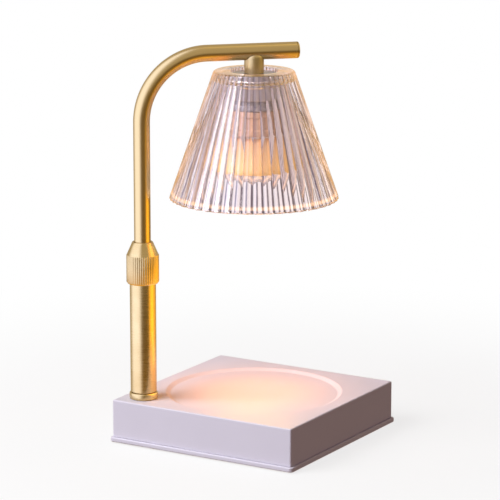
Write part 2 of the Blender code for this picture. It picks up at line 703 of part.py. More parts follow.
def swept_tube(name, rows, radius, bore, sides):
    """A bent pipe: a ring of points outside and inside at each row, joined by faces."""
    shape = bmesh.new()
    across = ARM_DIRECTION.cross(Vector((0, 0, 1)))
    rings = []
    for size in (radius, bore):
        for point, direction in rows:
            side = direction.cross(across)
            ring = []
            for k in range(sides):
                turn = 2 * math.pi * k / sides
                ring.append(shape.verts.new(point + (across * math.cos(turn) + side * math.sin(turn)) * size))
            rings.append(ring)
    count = len(rows)
    pairs = [(i, i + 1) for i in range(count - 1)] + [(count + i + 1, count + i) for i in range(count - 1)]
    pairs += [(count - 1, 2 * count - 1), (count, 0)]
    for a, b in pairs:
        for k in range(sides):
            n = (k + 1) % sides
            shape.faces.new((rings[a][k], rings[a][n], rings[b][n], rings[b][k]))
    return mesh_of(name, shape)


def make_arm(materials):
    end = REACH + ARM_BEYOND_SHADE - CAP_THICK - GAP
    bent = swept_tube("arm_tube", arm_sections(ARM_LOW, end), ARM_RADIUS, ARM_BORE, ARM_SIDES)
    arm = finish(object_of("arm_tube", bent), materials["brass"])
    hole = rod("lead_hole", LEAD_HOLE_RADIUS, ARM_Z - ARM_RADIUS - OVERRUN, ARM_Z, TINY)
    boolean(arm, helper("lead_hole", hole))
    low = -GAP - CAP_SPIGOT
    section = [(0, low, 0), (ARM_BORE - GAP, low, 0), (ARM_BORE - GAP, 0, 0), (ARM_RADIUS, 0, 0),
               (ARM_RADIUS, CAP_THICK, CAP_FILLET), (0, CAP_THICK, 0)]
    cap = turned("arm_end_cap", section, ARM_SIDES)
    cap_object = finish(object_of("arm_end_cap", cap, arm_point(end + GAP, ARM_Z)), materials["brass"])
    cap_object.rotation_euler = (0, math.pi / 2, ARM_TURN)


def make_neck(materials):
    """The neck's round shoulder is cut to a saddle that the arm lies in."""
    top = ARM_Z - NECK_BELOW_AXIS
    nipple_top = NECK_LOW + NIPPLE_IN_NECK + GAP
    section = [(NIPPLE_RADIUS + GAP, NECK_LOW, 0), (NECK_RADIUS, NECK_LOW, NECK_EDGE),
               (NECK_RADIUS, top, NECK_SHOULDER), (LEAD_HOLE_RADIUS, top, 0),
               (LEAD_HOLE_RADIUS, nipple_top, 0), (NIPPLE_RADIUS + GAP, nipple_top, 0)]
    neck = finish(object_of("neck", turned("neck", section, MEDIUM)), materials["brass"])
    saddle = helper("saddle", rod("saddle", ARM_HOLE, -REACH / 2, REACH / 2, MEDIUM), (0, 0, ARM_Z))
    saddle.rotation_euler = (0, math.pi / 2, ARM_TURN)
    boolean(neck, saddle)
    low = CUP_CEILING - NIPPLE_BELOW_CUP
    nipple = tube("neck_nipple", NIPPLE_BORE, NIPPLE_RADIUS, low, NECK_LOW + NIPPLE_IN_NECK, SMALL)
    finish(object_of("neck_nipple", nipple), materials["steel"])
    nut_top = CUP_CEILING - GAP
    nut_low = nut_top - NIPPLE_NUT_HEIGHT
    nut = tube("nipple_nut", NIPPLE_RADIUS + GAP, NIPPLE_NUT_RADIUS, nut_low, nut_top, TINY)
    finish(object_of("nipple_nut", nut), materials["steel"])


def ribbed_ring(shape, radius, height):
    """Points round the shade's outside: each rib is a flat arch between two sharp valleys."""
    count = RIB_COUNT * RIB_STEPS
    depth = RIB_DEPTH_SHARE * 2 * math.pi * radius / RIB_COUNT
    ring = []
    for k in range(count):
        across = 2 * (k % RIB_STEPS) / RIB_STEPS - 1
        reach = radius - depth * across * across
        angle = 2 * math.pi * k / count
        ring.append(shape.verts.new((reach * math.cos(angle), reach * math.sin(angle), height)))
    return ring


def make_shade(materials):
    """Ribbed outside, smooth inside, with a flat flange at the top that rests on the shade ring."""
    shape = bmesh.new()
    mouth = ribbed_ring(shape, SHADE_BOTTOM_RADIUS, SHADE_MOUTH)
    rim = ribbed_ring(shape, SHADE_TOP_RADIUS, SHADE_RIM)
    shape.faces.new(mouth)
    shape.faces.new(rim)
    for k in range(len(mouth)):
        shape.faces.new((mouth[k - 1], mouth[k], rim[k], rim[k - 1]))
    shade = finish(object_of("shade", mesh_of("shade", shape, 20)), materials["glass"])
    slope = (SHADE_BOTTOM_RADIUS - SHADE_TOP_RADIUS) / SHADE_HEIGHT
    ceiling_radius = SHADE_TOP_RADIUS + slope * SHADE_FLANGE - SHADE_WALL
    mouth_radius = SHADE_BOTTOM_RADIUS - SHADE_WALL + slope * OVERRUN
    cavity = turned("shade_cavity", [(0, SHADE_MOUTH - OVERRUN, 0), (mouth_radius, SHADE_MOUTH - OVERRUN, 0),
                                     (ceiling_radius, FLANGE_FACE, 0), (SHADE_HOLE, FLANGE_FACE, 0),
                                     (SHADE_HOLE, SHADE_RIM + OVERRUN, 0), (0, SHADE_RIM + OVERRUN, 0)], FINE)
    boolean(shade, helper("shade_cavity", cavity))


def make_cup_and_ring(materials):
    low = CUP_TOP - CUP_HEIGHT
    hole = NIPPLE_RADIUS + GAP
    section = [(CUP_RADIUS - CUP_WALL, low, 0), (CUP_RADIUS, low, 0), (CUP_RADIUS, CUP_TOP, CUP_FILLET),
               (hole, CUP_TOP, 0), (hole, CUP_CEILING, 0), (CUP_RADIUS - CUP_WALL, CUP_CEILING, 0)]
    cup = finish(object_of("holder_cup", turned("holder_cup", section, MEDIUM)), materials["steel"])
    screw_hole = rod("cup_hole", PILOT_RADIUS, CUP_CEILING - OVERRUN, CUP_TOP + OVERRUN, TINY)
    for index, place in enumerate(holder_screw_places(), 1):
        boolean(cup, helper(f"cup_hole_{index}", screw_hole, place))
    top = FLANGE_FACE - GAP
    ring_mesh = tube("shade_ring", CUP_RADIUS + GAP, RING_RADIUS, top - RING_HEIGHT, top, FINE, RING_EDGE)
    finish(object_of("shade_ring", ring_mesh), materials["steel"])


def around(radius, degrees):
    angle = math.radians(degrees)
    return Vector((radius * math.cos(angle), radius * math.sin(angle), 0))


def holder_screw_places():
    return [around(PILLAR_SPREAD, 90), around(PILLAR_SPREAD, 270)]


def pin_places():
    return [around(PIN_SPREAD, BULB_TWIST / 2), around(PIN_SPREAD, 180 + BULB_TWIST / 2)]


def pin_slot(name, start_degrees, width, low, high):
    """A slot along the arc that a pin travels as the bulb is turned to its stop."""
    outline = []
    for centre, first in ((start_degrees, 180), (start_degrees + BULB_TWIST, 0)):
        for step in range(PIN_SLOT_STEPS + 1):
            turn = centre + first + 180 * step / PIN_SLOT_STEPS
            outline.append((around(PIN_SPREAD, centre) + around(width, turn)).xy)
    return prism(name, outline, low, high)


def make_lamp_holder(materials):
    shoulder = HOLDER_TOP - HOLDER_EDGE
    section = [(0, HOLDER_FACE, 0), (HOLDER_RADIUS, HOLDER_FACE, HOLDER_EDGE), (HOLDER_RADIUS, shoulder, 0),
               (HOLDER_SHOULDER_RADIUS, HOLDER_TOP, 0), (0, HOLDER_TOP, 0)]
    holder = finish(object_of("lamp_holder", turned("lamp_holder", section, MEDIUM)), materials["dark"])
    pillar = rod("pillar", PILLAR_RADIUS, HOLDER_TOP - OVERRUN, CUP_CEILING - GAP, TINY)
    places = holder_screw_places()
    for index, place in enumerate(places, 1):
        boolean(holder, helper(f"pillar_{index}", pillar, place), "UNION")
    screw_face = CUP_CEILING - HOLDER_SCREW_SPAN
    deep = screw_face + SCREW_HEAD_HEIGHT + GAP
    wide = SCREW_HEAD_RADIUS + GAP
    under = HOLDER_FACE - OVERRUN
    hole = turned("holder_hole", [(0, under, 0), (wide, under, 0), (wide, deep, 0), (PILOT_RADIUS, deep, 0),
                                  (PILOT_RADIUS, CUP_TOP, 0), (0, CUP_TOP, 0)], TINY)
    screw = screw_mesh(CUP_TOP - GAP - screw_face - SCREW_HEAD_HEIGHT)
    for index, place in enumerate(places, 1):
        boolean(holder, helper(f"holder_hole_{index}", hole, place))
        add_screw(f"holder_screw_{index}", screw, place + Vector((0, 0, screw_face)), materials["steel"])
    pin_top = HOLDER_FACE + PIN_LENGTH + PIN_ROOM
    for index in range(2):
        start = 180 * index - BULB_TWIST / 2
        slot = pin_slot("pin_slot", start, PIN_HEAD_RADIUS + GAP, HOLDER_FACE - OVERRUN, pin_top)
        boolean(holder, helper(f"pin_slot_{index + 1}", slot))
    socket = rod("lead_socket", LEAD_RADIUS + GAP, HOLDER_TOP - LEAD_SOCKET_DEPTH, HOLDER_TOP + OVERRUN, TINY)
    boolean(holder, helper("lead_socket", socket))


def make_bulb(materials):
    socket_top = BULB_BASE_LOW + BULB_SOCKET_DEPTH
    section = [(0, BULB_TOP, 0), (BULB_BASE_RADIUS, BULB_TOP, BULB_BASE_EDGE),
               (BULB_BASE_RADIUS, BULB_BASE_LOW, BULB_BASE_EDGE), (BULB_SOCKET_RADIUS, BULB_BASE_LOW, 0),
               (BULB_SOCKET_RADIUS, socket_top, 0), (0, socket_top, 0)]
    base = finish(object_of("bulb_base", turned("bulb_base", section, MEDIUM)), materials["ceramic"])
    seat = BULB_TOP - PIN_SEAT
    top = HOLDER_FACE + PIN_LENGTH
    pin = turned("bulb_pin", [(0, seat, 0), (PIN_RADIUS, seat, 0), (PIN_RADIUS, top - PIN_HEAD_HEIGHT, 0),
                              (PIN_HEAD_RADIUS, top - PIN_HEAD_HEIGHT, 0), (PIN_HEAD_RADIUS, top, GAP),
                              (0, top, 0)], TINY)
    bore = rod("pin_bore", PIN_RADIUS + GAP, seat - GAP, BULB_TOP + OVERRUN, TINY)
    for index, place in enumerate(pin_places(), 1):
        boolean(base, helper(f"pin_bore_{index}", bore, place))
        finish(object_of(f"bulb_pin_{index}", pin, place), materials["steel"])
    make_reflector(materials)


def reflector_profile():
    """Outer points of the reflector from its throat down to its rim: a parabola that opens downwards."""
    throat = BULB_SOCKET_RADIUS - GAP
    top = BULB_BASE_LOW - REFLECTOR_THROAT_HEIGHT
    rim = REFLECTOR_LOW + REFLECTOR_RIM
    points = []
    for step in range(REFLECTOR_STEPS + 1):
        share = step / REFLECTOR_STEPS
        points.append((math.sqrt(throat ** 2 + share * (REFLECTOR_RADIUS ** 2 - throat ** 2)),
                       top + share * (rim - top)))
    return points


def make_reflector(materials):
    outer = reflector_profile()
    throat = BULB_SOCKET_RADIUS - GAP
    inner = [(radius - REFLECTOR_WALL, height, 0) for radius, height in reversed(outer)]
    section = [(throat, REFLECTOR_TOP, 0)] + [(radius, height, 0) for radius, height in outer]
    section += [(REFLECTOR_RADIUS, REFLECTOR_LOW, 0), (REFLECTOR_RADIUS - REFLECTOR_WALL, REFLECTOR_LOW, 0)]
    section += inner + [(throat - REFLECTOR_WALL, REFLECTOR_TOP, 0)]
    reflector = turned("bulb_reflector", section, MEDIUM)
    finish(object_of("bulb_reflector", reflector), materials["mirror"])
    edge = REFLECTOR_RADIUS - REFLECTOR_WALL - GAP
    low = REFLECTOR_LOW + LENS_DOME
    back = low + LENS_THICK
    lens = turned("bulb_lens", [(0, REFLECTOR_LOW, 0), (edge / 2, REFLECTOR_LOW + LENS_DOME / 4, 0),
                                (edge, low, 0), (edge, back, 0), (0, back, 0)], MEDIUM)
    finish(object_of("bulb_lens", lens), materials["glass"])
    capsule_top = BULB_BASE_LOW + BULB_SOCKET_DEPTH - GAP
    capsule = turned("bulb_capsule", [(0, capsule_top - CAPSULE_LENGTH, 0),
                                      (CAPSULE_RADIUS, capsule_top - CAPSULE_LENGTH, CAPSULE_TIP),
                                      (CAPSULE_RADIUS, capsule_top, 0), (0, capsule_top, 0)], TINY)
    finish(object_of("bulb_capsule", capsule), materials["lamp"])


def arc(centre, from_arm, to_arm, steps):
    """Points of a quarter turn about centre, from centre + from_arm to centre + to_arm."""
    angles = [math.pi / 2 * step / steps for step in range(steps + 1)]
    return [centre + from_arm * math.cos(a) + to_arm * math.sin(a) for a in angles]


def straight(start, end):
    steps = max(1, round((end - start).length / LEAD_SPACING))
    return [start.lerp(end, step / steps) for step in range(steps)]


def make_leads(materials):
    """One sheathed lead in three lengths: in the base, slack in the post, and in the arm."""
    slack_top = ARM_LOW + LEAD_ARM_START - GAP
    slack_low = ARM_LOW + LEAD_ARM_START - ARM_TRAVEL_DOWN - LEAD_LOWEST_ARM
    route = base_lead_route(slack_low - GAP)
    finish(object_of("base_lead", lead_along("base_lead", route)), materials["sheath"])
    slack = []
    steps = round(SLACK_TURNS * SLACK_STEPS)
    for step in range(steps + 1):
        share = step / steps
        swing = SLACK_RADIUS * math.sin(math.pi * share)
        angle = 2 * math.pi * SLACK_TURNS * share
        height = slack_low + share * (slack_top - slack_low)
        slack.append(POST_AXIS + Vector((swing * math.cos(angle), swing * math.sin(angle), height)))
    finish(object_of("post_lead", lead_along("post_lead", slack)), materials["sheath"])
    finish(object_of("arm_lead", lead_along("arm_lead", arm_lead_route())), materials["sheath"])


def base_lead_route(top):
    """From the terminal block, low across to the post, then up its bore."""
    height = PLATE_TOP + GAP + LEAD_CLEAR_OF_PLATE
    block = block_centre()
    start = Vector((block.x, block.y - BLOCK_LENGTH / 2 - GAP, height))
    turn = POST_AXIS + Vector((0, LEAD_BEND, height))
    route = straight(start, turn)
    up = Vector((0, 0, LEAD_BEND))
    end = POST_AXIS + Vector((0, 0, top))
    route += arc(turn + up, -up, Vector((0, -LEAD_BEND, 0)), 2 * ARC_STEPS)
    return route + straight(route[-1], end)[1:] + [end]


def arm_lead_route():
    """Up the arm, round its bend and along it, then down through the neck and nipple to the lamp holder."""
    start = arm_point(0, ARM_LOW + LEAD_ARM_START)
    route = straight(start, arm_point(0, ARM_Z - ARM_BEND))
    route += [point for point, _ in arm_sections(ARM_LOW, REACH)[1:-1]]
    elbow = REACH - LEAD_ELBOW
    route += straight(arm_point(ARM_BEND, ARM_Z), arm_point(elbow, ARM_Z))[1:]
    down = Vector((0, 0, -LEAD_ELBOW))
    route += arc(arm_point(elbow, ARM_Z) + down, -down, ARM_DIRECTION * LEAD_ELBOW, 2 * ARC_STEPS)
    end = Vector((0, 0, HOLDER_TOP - LEAD_SOCKET_DEPTH + GAP))
    return route + straight(route[-1], end)[1:] + [end]


def main():
    clear_scene()
    materials = make_materials()
    make_base_plate(materials)
    make_feet(materials)
    make_housing(materials)
    make_base_screws(materials)
    make_ballast(materials)
    make_terminal_block(materials)
    make_gland(materials)
    make_post(materials)
    make_clamp_nut(materials)
    make_collet(materials)
    make_guide(materials)
    make_arm(materials)
    make_neck(materials)
    make_shade(materials)
    make_cup_and_ring(materials)
    make_lamp_holder(materials)
    make_bulb(materials)
    make_leads(materials)


main()
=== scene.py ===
"""The looks of a height-adjustable warmer lamp, built round its construction model.

The file is laid out as a Blender add-on: sizes and colours are properties, each piece or group of
like pieces has an operator, and main() runs them in order. Metres, +Z up, the lamp stands on z = 0.
"""

import math

import bpy
import numpy as np
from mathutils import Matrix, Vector
from mathutils.geometry import interpolate_bezier


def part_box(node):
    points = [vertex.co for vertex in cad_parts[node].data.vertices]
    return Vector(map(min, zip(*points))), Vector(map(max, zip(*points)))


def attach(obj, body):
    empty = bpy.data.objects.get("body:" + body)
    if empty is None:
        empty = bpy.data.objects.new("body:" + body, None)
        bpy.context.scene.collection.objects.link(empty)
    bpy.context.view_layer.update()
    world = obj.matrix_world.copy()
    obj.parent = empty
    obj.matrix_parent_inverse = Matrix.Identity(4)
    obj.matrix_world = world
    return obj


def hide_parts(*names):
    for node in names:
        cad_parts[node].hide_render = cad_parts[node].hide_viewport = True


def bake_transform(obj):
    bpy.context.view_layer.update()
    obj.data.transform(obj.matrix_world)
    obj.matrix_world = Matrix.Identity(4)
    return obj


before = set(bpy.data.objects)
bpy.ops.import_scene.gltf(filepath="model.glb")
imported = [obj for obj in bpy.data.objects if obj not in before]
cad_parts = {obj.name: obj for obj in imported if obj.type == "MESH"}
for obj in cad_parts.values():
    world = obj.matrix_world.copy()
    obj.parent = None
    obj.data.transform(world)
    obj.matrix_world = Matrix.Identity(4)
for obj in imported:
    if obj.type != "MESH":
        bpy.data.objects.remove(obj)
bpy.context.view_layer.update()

bl_info = {
    "name": "Warmer Lamp",
    "version": (1, 0, 0),
    "blender": (4, 5, 0),
    "location": "3D View > Sidebar > Warmer Lamp",
    "description": "Models and finishes a warmer lamp with a reeded glass shade on a brass arm",
    "category": "Add Mesh",
}

FINISH_NAME = "{}_finish"

# Places that the construction model gives
HOUSING_LOW, HOUSING_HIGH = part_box("base_housing")
PLATE_LOW, PLATE_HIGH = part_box("base_plate")
POST_LOW, POST_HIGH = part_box("post_tube")
FOOT_RING_LOW, FOOT_RING_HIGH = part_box("post_foot_ring")
NUT_LOW, NUT_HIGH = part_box("clamp_nut")
ARM_LOW, ARM_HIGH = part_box("arm_tube")
NECK_LOW, NECK_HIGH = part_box("neck")
CUP_LOW, CUP_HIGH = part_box("holder_cup")
SHADE_LOW, SHADE_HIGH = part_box("shade")
SHADE_RING_LOW, SHADE_RING_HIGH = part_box("shade_ring")
HOLDER_LOW, HOLDER_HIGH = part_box("lamp_holder")
BULB_BASE_LOW, BULB_BASE_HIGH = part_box("bulb_base")
REFLECTOR_LOW, REFLECTOR_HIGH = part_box("bulb_reflector")
LENS_LOW, LENS_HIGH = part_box("bulb_lens")
CAPSULE_LOW, CAPSULE_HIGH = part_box("bulb_capsule")

GAP = 0.0003
MERGE = 0.000002
OVERRUN = 0.002
SCREW_HEAD_ROOM = 0.0031
SCREW_SHANK_ROOM = 0.0018
LEAD_ROOM = 0.0032
BASE_TOP = HOUSING_HIGH.z
PLATE_TOP = PLATE_HIGH.z
POST_AXIS = Vector(((POST_LOW.x + POST_HIGH.x) / 2, (POST_LOW.y + POST_HIGH.y) / 2, 0))
SHADE_AXIS = Vector((0, 0, 0))
REACH = (SHADE_AXIS - POST_AXIS).length
ARM_DIRECTION = (SHADE_AXIS - POST_AXIS).normalized()
ARM_TURN = math.atan2(ARM_DIRECTION.y, ARM_DIRECTION.x)
UP = Vector((0, 0, 1))
SIDEWAYS = (0, math.pi / 2, 0)
ALONG_ARM = (0, math.pi / 2, ARM_TURN)

# How finely round shapes are drawn
FINE = 192
ROUND = 96
SMALL = 48
ARC_STEPS = 5
SMOOTH_ANGLE = math.radians(32)


def length(name, description, default):
    return bpy.props.FloatProperty(name=name, description=description, default=default, min=0.0,
                                   precision=5, unit="LENGTH")


def number(name, description, default):
    return bpy.props.IntProperty(name=name, description=description, default=default, min=12)


def colour(name, description, default):
    return bpy.props.FloatVectorProperty(name=name, description=description, default=default, size=3,
                                         min=0.0, max=1.0, subtype="COLOR")


class LampBaseSizes(bpy.types.PropertyGroup):
    """Sizes of the painted base"""
    corner: length("Corner", "Radius of the housing's upright edges", 0.0012)
    top_edge: length("Top edge", "Radius of the housing's top edges", 0.0011)
    wall: length("Wall", "Thickness of the housing's sides", 0.0025)
    top_wall: length("Top wall", "Thickness of the housing's top", 0.0040)
    recess_radius: length("Recess radius", "Outer radius of the round recess", 0.0647)
    recess_depth: length("Recess depth", "Depth of the round recess", 0.0018)
    recess_slope: length("Recess slope", "Width of the recess's sloping edge", 0.0034)
    recess_fillet: length("Recess fillet", "Radius at the recess's edges", 0.0026)
    plate_corner: length("Plate corner", "Radius of the plate's corners", 0.0030)
    plate_edge: length("Plate edge", "Radius of the plate's upper and lower edges", 0.0009)
    foot_radius: length("Foot radius", "Radius of a rubber foot", 0.0070)
    foot_inset: length("Foot inset", "From the base's side to a foot's middle", 0.0150)


class LampStemSizes(bpy.types.PropertyGroup):
    """Sizes of the post, the clamp nut, the arm and the neck"""
    post_wall: length("Post wall", "Thickness of the post tube", 0.0012)
    ring_fillet: length("Ring fillet", "Radius at the foot ring's top", 0.0010)
    nut_chamfer: length("Nut chamfer", "Chamfer below the knurl", 0.0008)
    nut_cone: length("Nut cone", "Height of the cone above the knurl", 0.0094)
    nut_cone_radius: length("Cone radius", "Radius at the cone's top", 0.0076)
    knurl_count: number("Knurls", "Flutes round the nut", 48)
    knurl_depth: length("Knurl depth", "Depth of a flute", 0.00034)
    arm_radius: length("Arm radius", "Outer radius of the arm tube", 0.0060)
    arm_wall: length("Arm wall", "Thickness of the arm tube", 0.0010)
    arm_bend: length("Arm bend", "Radius of the arm's bend, to its middle line", 0.0480)
    neck_radius: length("Neck radius", "Radius of the neck under the arm", 0.0071)
    neck_shoulder: length("Neck shoulder", "Radius at the neck's top edge", 0.0022)


class LampShadeSizes(bpy.types.PropertyGroup):
    """Sizes of the glass shade and what carries it"""
    reeds: number("Reeds", "Reeds round the glass", 48)
    reed_depth: bpy.props.FloatProperty(name="Reed depth", default=0.15, min=0.0, max=0.3, subtype="FACTOR",
                                        description="Depth of a reed as a share of its width")
    top_radius: length("Top radius", "Outer radius of the glass at its top", 0.0292)
    wall: length("Wall", "Thickness of the glass", 0.0032)
    flange: length("Flange", "Thickness of the glass's flat top", 0.0069)
    hole: length("Hole", "Radius of the hole in the flat top", 0.0175)
    lip: length("Lip", "Radius of the glass's rounded edges", 0.0007)
    cup_wall: length("Cup wall", "Thickness of the holder cup", 0.0012)
    holder_body: length("Holder body", "Height of the lamp holder's body", 0.0160)


class LampFinish(bpy.types.PropertyGroup):
    """Colours and light of the lamp"""
    paint: colour("Paint", "Satin paint of the base", (0.765, 0.732, 0.835))
    brass: colour("Brass", "Brushed brass", (0.715, 0.560, 0.280))
    brass_dark: colour("Dark brass", "Brass in the brushed lines", (0.575, 0.420, 0.180))
    glass: colour("Glass", "Tint of the shade's glass", (0.905, 0.820, 0.835))
    # Painted warm light: the colour that the glass turns to at its outline.
    painted_edge_glow: colour("Glass edge", "Tint of the glass where it turns away", (1.000, 0.680, 0.580))
    holder: colour("Holder", "Dark moulded parts", (0.260, 0.230, 0.245))
    ceramic: colour("Ceramic", "Bulb base", (0.700, 0.440, 0.300))
    glow: colour("Glow", "Light of the bulb", (1.000, 0.560, 0.200))
    glow_strength: bpy.props.FloatProperty(name="Glow strength", default=1.3, min=0.0,
                                           description="Brightness of the bulb's front")


# Selecting, placing and cutting

def deselect():
    if bpy.context.mode != "OBJECT":
        bpy.ops.object.mode_set(mode="OBJECT")
    bpy.ops.object.select_all(action="DESELECT")


def activate(obj):
    deselect()
    obj.select_set(True)
    bpy.context.view_layer.objects.active = obj


def named(name):
    obj = bpy.context.object
    obj.name = name
    obj.data.name = name
    return obj


def settle(obj):
    """Puts the object's place and turn into its mesh."""
    activate(obj)
    bpy.ops.object.transform_apply(location=True, rotation=True, scale=True)
    return obj


def put(obj, place, turn=(0, 0, 0)):
    """Turns the object and moves it to its place, in its mesh."""
    obj.rotation_euler = turn
    obj.location = place
    return settle(obj)


def remove(obj):
    activate(obj)
    bpy.ops.object.delete()


def pick(obj, kind, wanted):
    """Selects, in edit mode, the edges or faces for which wanted(points) is true."""
    activate(obj)
    bpy.ops.object.mode_set(mode="EDIT")
    bpy.ops.mesh.select_mode(type=kind)
    bpy.ops.mesh.select_all(action="DESELECT")
    bpy.ops.object.mode_set(mode="OBJECT")
    mesh = obj.data
    found = False
    for part in mesh.edges if kind == "EDGE" else mesh.polygons:
        part.select = wanted([mesh.vertices[v].co for v in part.vertices])
        found = found or part.select
    if not found:
        raise RuntimeError(f"{obj.name}: nothing to select")
    bpy.ops.object.mode_set(mode="EDIT")


def smooth(obj, angle=SMOOTH_ANGLE, weighted=False):
    activate(obj)
    bpy.ops.object.shade_smooth_by_angle(angle=angle)
    if weighted:
        modifier = obj.modifiers.new("weights", "WEIGHTED_NORMAL")
        modifier.keep_sharp = True
        bpy.ops.object.modifier_apply(modifier=modifier.name)
    return obj


def tidy_mesh(obj):
    activate(obj)
    bpy.ops.object.mode_set(mode="EDIT")
    bpy.ops.mesh.select_all(action="SELECT")
    bpy.ops.mesh.remove_doubles(threshold=MERGE)
    bpy.ops.mesh.normals_make_consistent(inside=False)
    bpy.ops.object.mode_set(mode="OBJECT")
    return obj


def cut(obj, cutter, operation="DIFFERENCE"):
    """Applies a Boolean with the cutter, which is then deleted."""
    activate(obj)
    modifier = obj.modifiers.new("cut", "BOOLEAN")
    modifier.operation = operation
    modifier.solver = "EXACT"
    modifier.object = cutter
    bpy.ops.object.modifier_apply(modifier=modifier.name)
    remove(cutter)
    activate(obj)
    return obj


# Shapes drawn: sections spun about an axis, and rings extruded one from another

def rounded(corners, steps=ARC_STEPS):
    """The outline through corners (a, b, fillet), with an arc in place of each filleted corner."""
    outline = []
    for index, (a, b, fillet) in enumerate(corners):
        here = Vector((a, b))
        if fillet == 0:
            outline.append(here)
            continue
        before = (Vector(corners[index - 1][:2]) - here).normalized()
        after = (Vector(corners[(index + 1) % len(corners)][:2]) - here).normalized()
        half_angle = before.angle(after) / 2
        back = fillet / math.tan(half_angle)
        centre = here + (before + after).normalized() * (fillet / math.sin(half_angle))
        start = here + before * back - centre
        turn = start.angle_signed(here + after * back - centre)
        for step in range(steps + 1):
            angle = -turn * step / steps
            outline.append(centre + Vector((start.x * math.cos(angle) - start.y * math.sin(angle),
                                            start.x * math.sin(angle) + start.y * math.cos(angle))))
    return outline


def turned(name, corners, sides, place=(0, 0, 0), closed=True, steps=ARC_STEPS):
    """A turned piece: its section, given as corners (radius, height, fillet), is spun about Z."""
    outline = rounded(corners, steps)
    start = outline[0]
    deselect()
    bpy.ops.mesh.primitive_plane_add(size=GAP, location=(start.x, 0, start.y))
    obj = settle(named(name))
    bpy.ops.object.mode_set(mode="EDIT")
    bpy.ops.mesh.select_mode(type="VERT")
    bpy.ops.mesh.select_all(action="SELECT")
    bpy.ops.mesh.merge(type="CENTER")
    for before, here in zip(outline, outline[1:]):
        step = (here.x - before.x, 0, here.y - before.y)
        bpy.ops.mesh.extrude_region_move(TRANSFORM_OT_translate={"value": step})
    if closed and (outline[0].x > 0 or outline[-1].x > 0):
        bpy.ops.object.mode_set(mode="OBJECT")
        for vertex in obj.data.vertices:
            vertex.select = vertex.index in (0, len(outline) - 1)
        bpy.ops.object.mode_set(mode="EDIT")
        bpy.ops.mesh.edge_face_add()
    bpy.ops.mesh.select_all(action="SELECT")
    bpy.ops.mesh.spin(steps=sides, angle=math.tau, center=(0, 0, 0), axis=(0, 0, 1))
    tidy_mesh(obj)
    mark_turning(obj)
    return put(obj, place)


def mark_turning(obj):
    """Stores each point's place about the turning axis, for brushed lines that stay with the piece."""
    places = np.zeros(len(obj.data.vertices) * 3, np.float32)
    obj.data.vertices.foreach_get("co", places)
    attribute = obj.data.attributes.new("turning", "FLOAT_VECTOR", "POINT")
    attribute.data.foreach_set("vector", places)


def move_ring(obj, centre, radius, height, lobes, depth):
    """Moves the selected ring to a radius and height, drawn in between lobes that are arches."""
    bpy.ops.object.mode_set(mode="OBJECT")
    chosen = [v for v in obj.data.vertices if v.select]
    for vertex in chosen:
        angle = math.atan2(vertex.co.y - centre.y, vertex.co.x - centre.x)
        across = 2 * ((angle / math.tau * lobes) % 1) - 1
        if 1 - abs(across) < 0.001:
            across = 1
        reach = radius - depth * across * across
        vertex.co = (centre.x + reach * math.cos(angle), centre.y + reach * math.sin(angle), height)
    bpy.ops.object.mode_set(mode="EDIT")


def lobed(name, centre, rings, lobes, lobe_points):
    """A closed body through rings (radius, height, depth), each extruded from the last."""
    first = rings[0]
    deselect()
    bpy.ops.mesh.primitive_circle_add(vertices=lobes * lobe_points, radius=first[0], fill_type="NOTHING",
                                      location=(centre.x, centre.y, first[1]),
                                      rotation=(0, 0, math.pi / 2))
    obj = settle(named(name))
    bpy.ops.object.mode_set(mode="EDIT")
    bpy.ops.mesh.select_mode(type="VERT")
    bpy.ops.mesh.select_all(action="SELECT")
    move_ring(obj, centre, *first[:2], lobes, first[2])
    for radius, height, depth in rings[1:] + [first]:
        bpy.ops.mesh.extrude_edges_move(TRANSFORM_OT_translate={"value": (0, 0, 0)})
        move_ring(obj, centre, radius, height, lobes, depth)
    tidy_mesh(obj)
    return obj


def block(name, low, high):
    deselect()
    centre = (Vector(low) + Vector(high)) / 2
    bpy.ops.mesh.primitive_cube_add(size=1, location=centre, scale=Vector(high) - Vector(low))
    return settle(named(name))


def rod(name, place, radius, low, high, sides=SMALL):
    deselect()
    bpy.ops.mesh.primitive_cylinder_add(vertices=sides, radius=radius, depth=high - low,
                                        location=(place[0], place[1], (low + high) / 2))
    return settle(named(name))


def tube(name, route, radius):
    """A round lead along a route of points, closed at both ends."""
    deselect()
    bpy.ops.curve.primitive_nurbs_path_add(location=(0, 0, 0))
    obj = named(name)
    curve = obj.data
    curve.splines.clear()
    spline = curve.splines.new("POLY")
    spline.points.add(len(route) - 1)
    for point, place in zip(spline.points, route):
        point.co = (*place, 1)
    curve.bevel_depth = radius
    curve.bevel_resolution = 4
    curve.use_fill_caps = True
    bpy.ops.object.convert(target="MESH")
    return tidy_mesh(named(name))


def copy_to(obj, name, offset):
    """A copy with its own mesh, moved by offset."""
    activate(obj)
    bpy.ops.object.duplicate(linked=False)
    return put(named(name), offset)


def hand_over(obj, body, slot, material, *nodes):
    """Gives a finished piece its material, its body and the construction pieces that it stands for."""
    obj.data.materials.clear()
    obj.data.materials.append(finish(material))
    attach(obj, body)
    if nodes:
        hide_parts(*nodes)
    return obj


# Shader nodes

def node(tree, kind, inputs=None, **settings):
    """Adds a node; an input is given a value, or the output socket that feeds it."""
    made = tree.nodes.new(kind)
    for key, value in settings.items():
        setattr(made, key, value)
    for key, value in (inputs or {}).items():
        if isinstance(value, bpy.types.NodeSocket):
            tree.links.new(value, made.inputs[key])
        else:
            made.inputs[key].default_value = value
    return made


def mixed(tree, factor, first, second):
    """A colour between two, each a plain colour or a socket, by a factor that varies."""
    first, second = (value if isinstance(value, bpy.types.NodeSocket) else (*value, 1)
                     for value in (first, second))
    return node(tree, "ShaderNodeMix", {0: factor, 6: first, 7: second}, data_type="RGBA").outputs[2]


def maths(tree, operation, first, second):
    return node(tree, "ShaderNodeMath", {0: first, 1: second}, operation=operation).outputs[0]


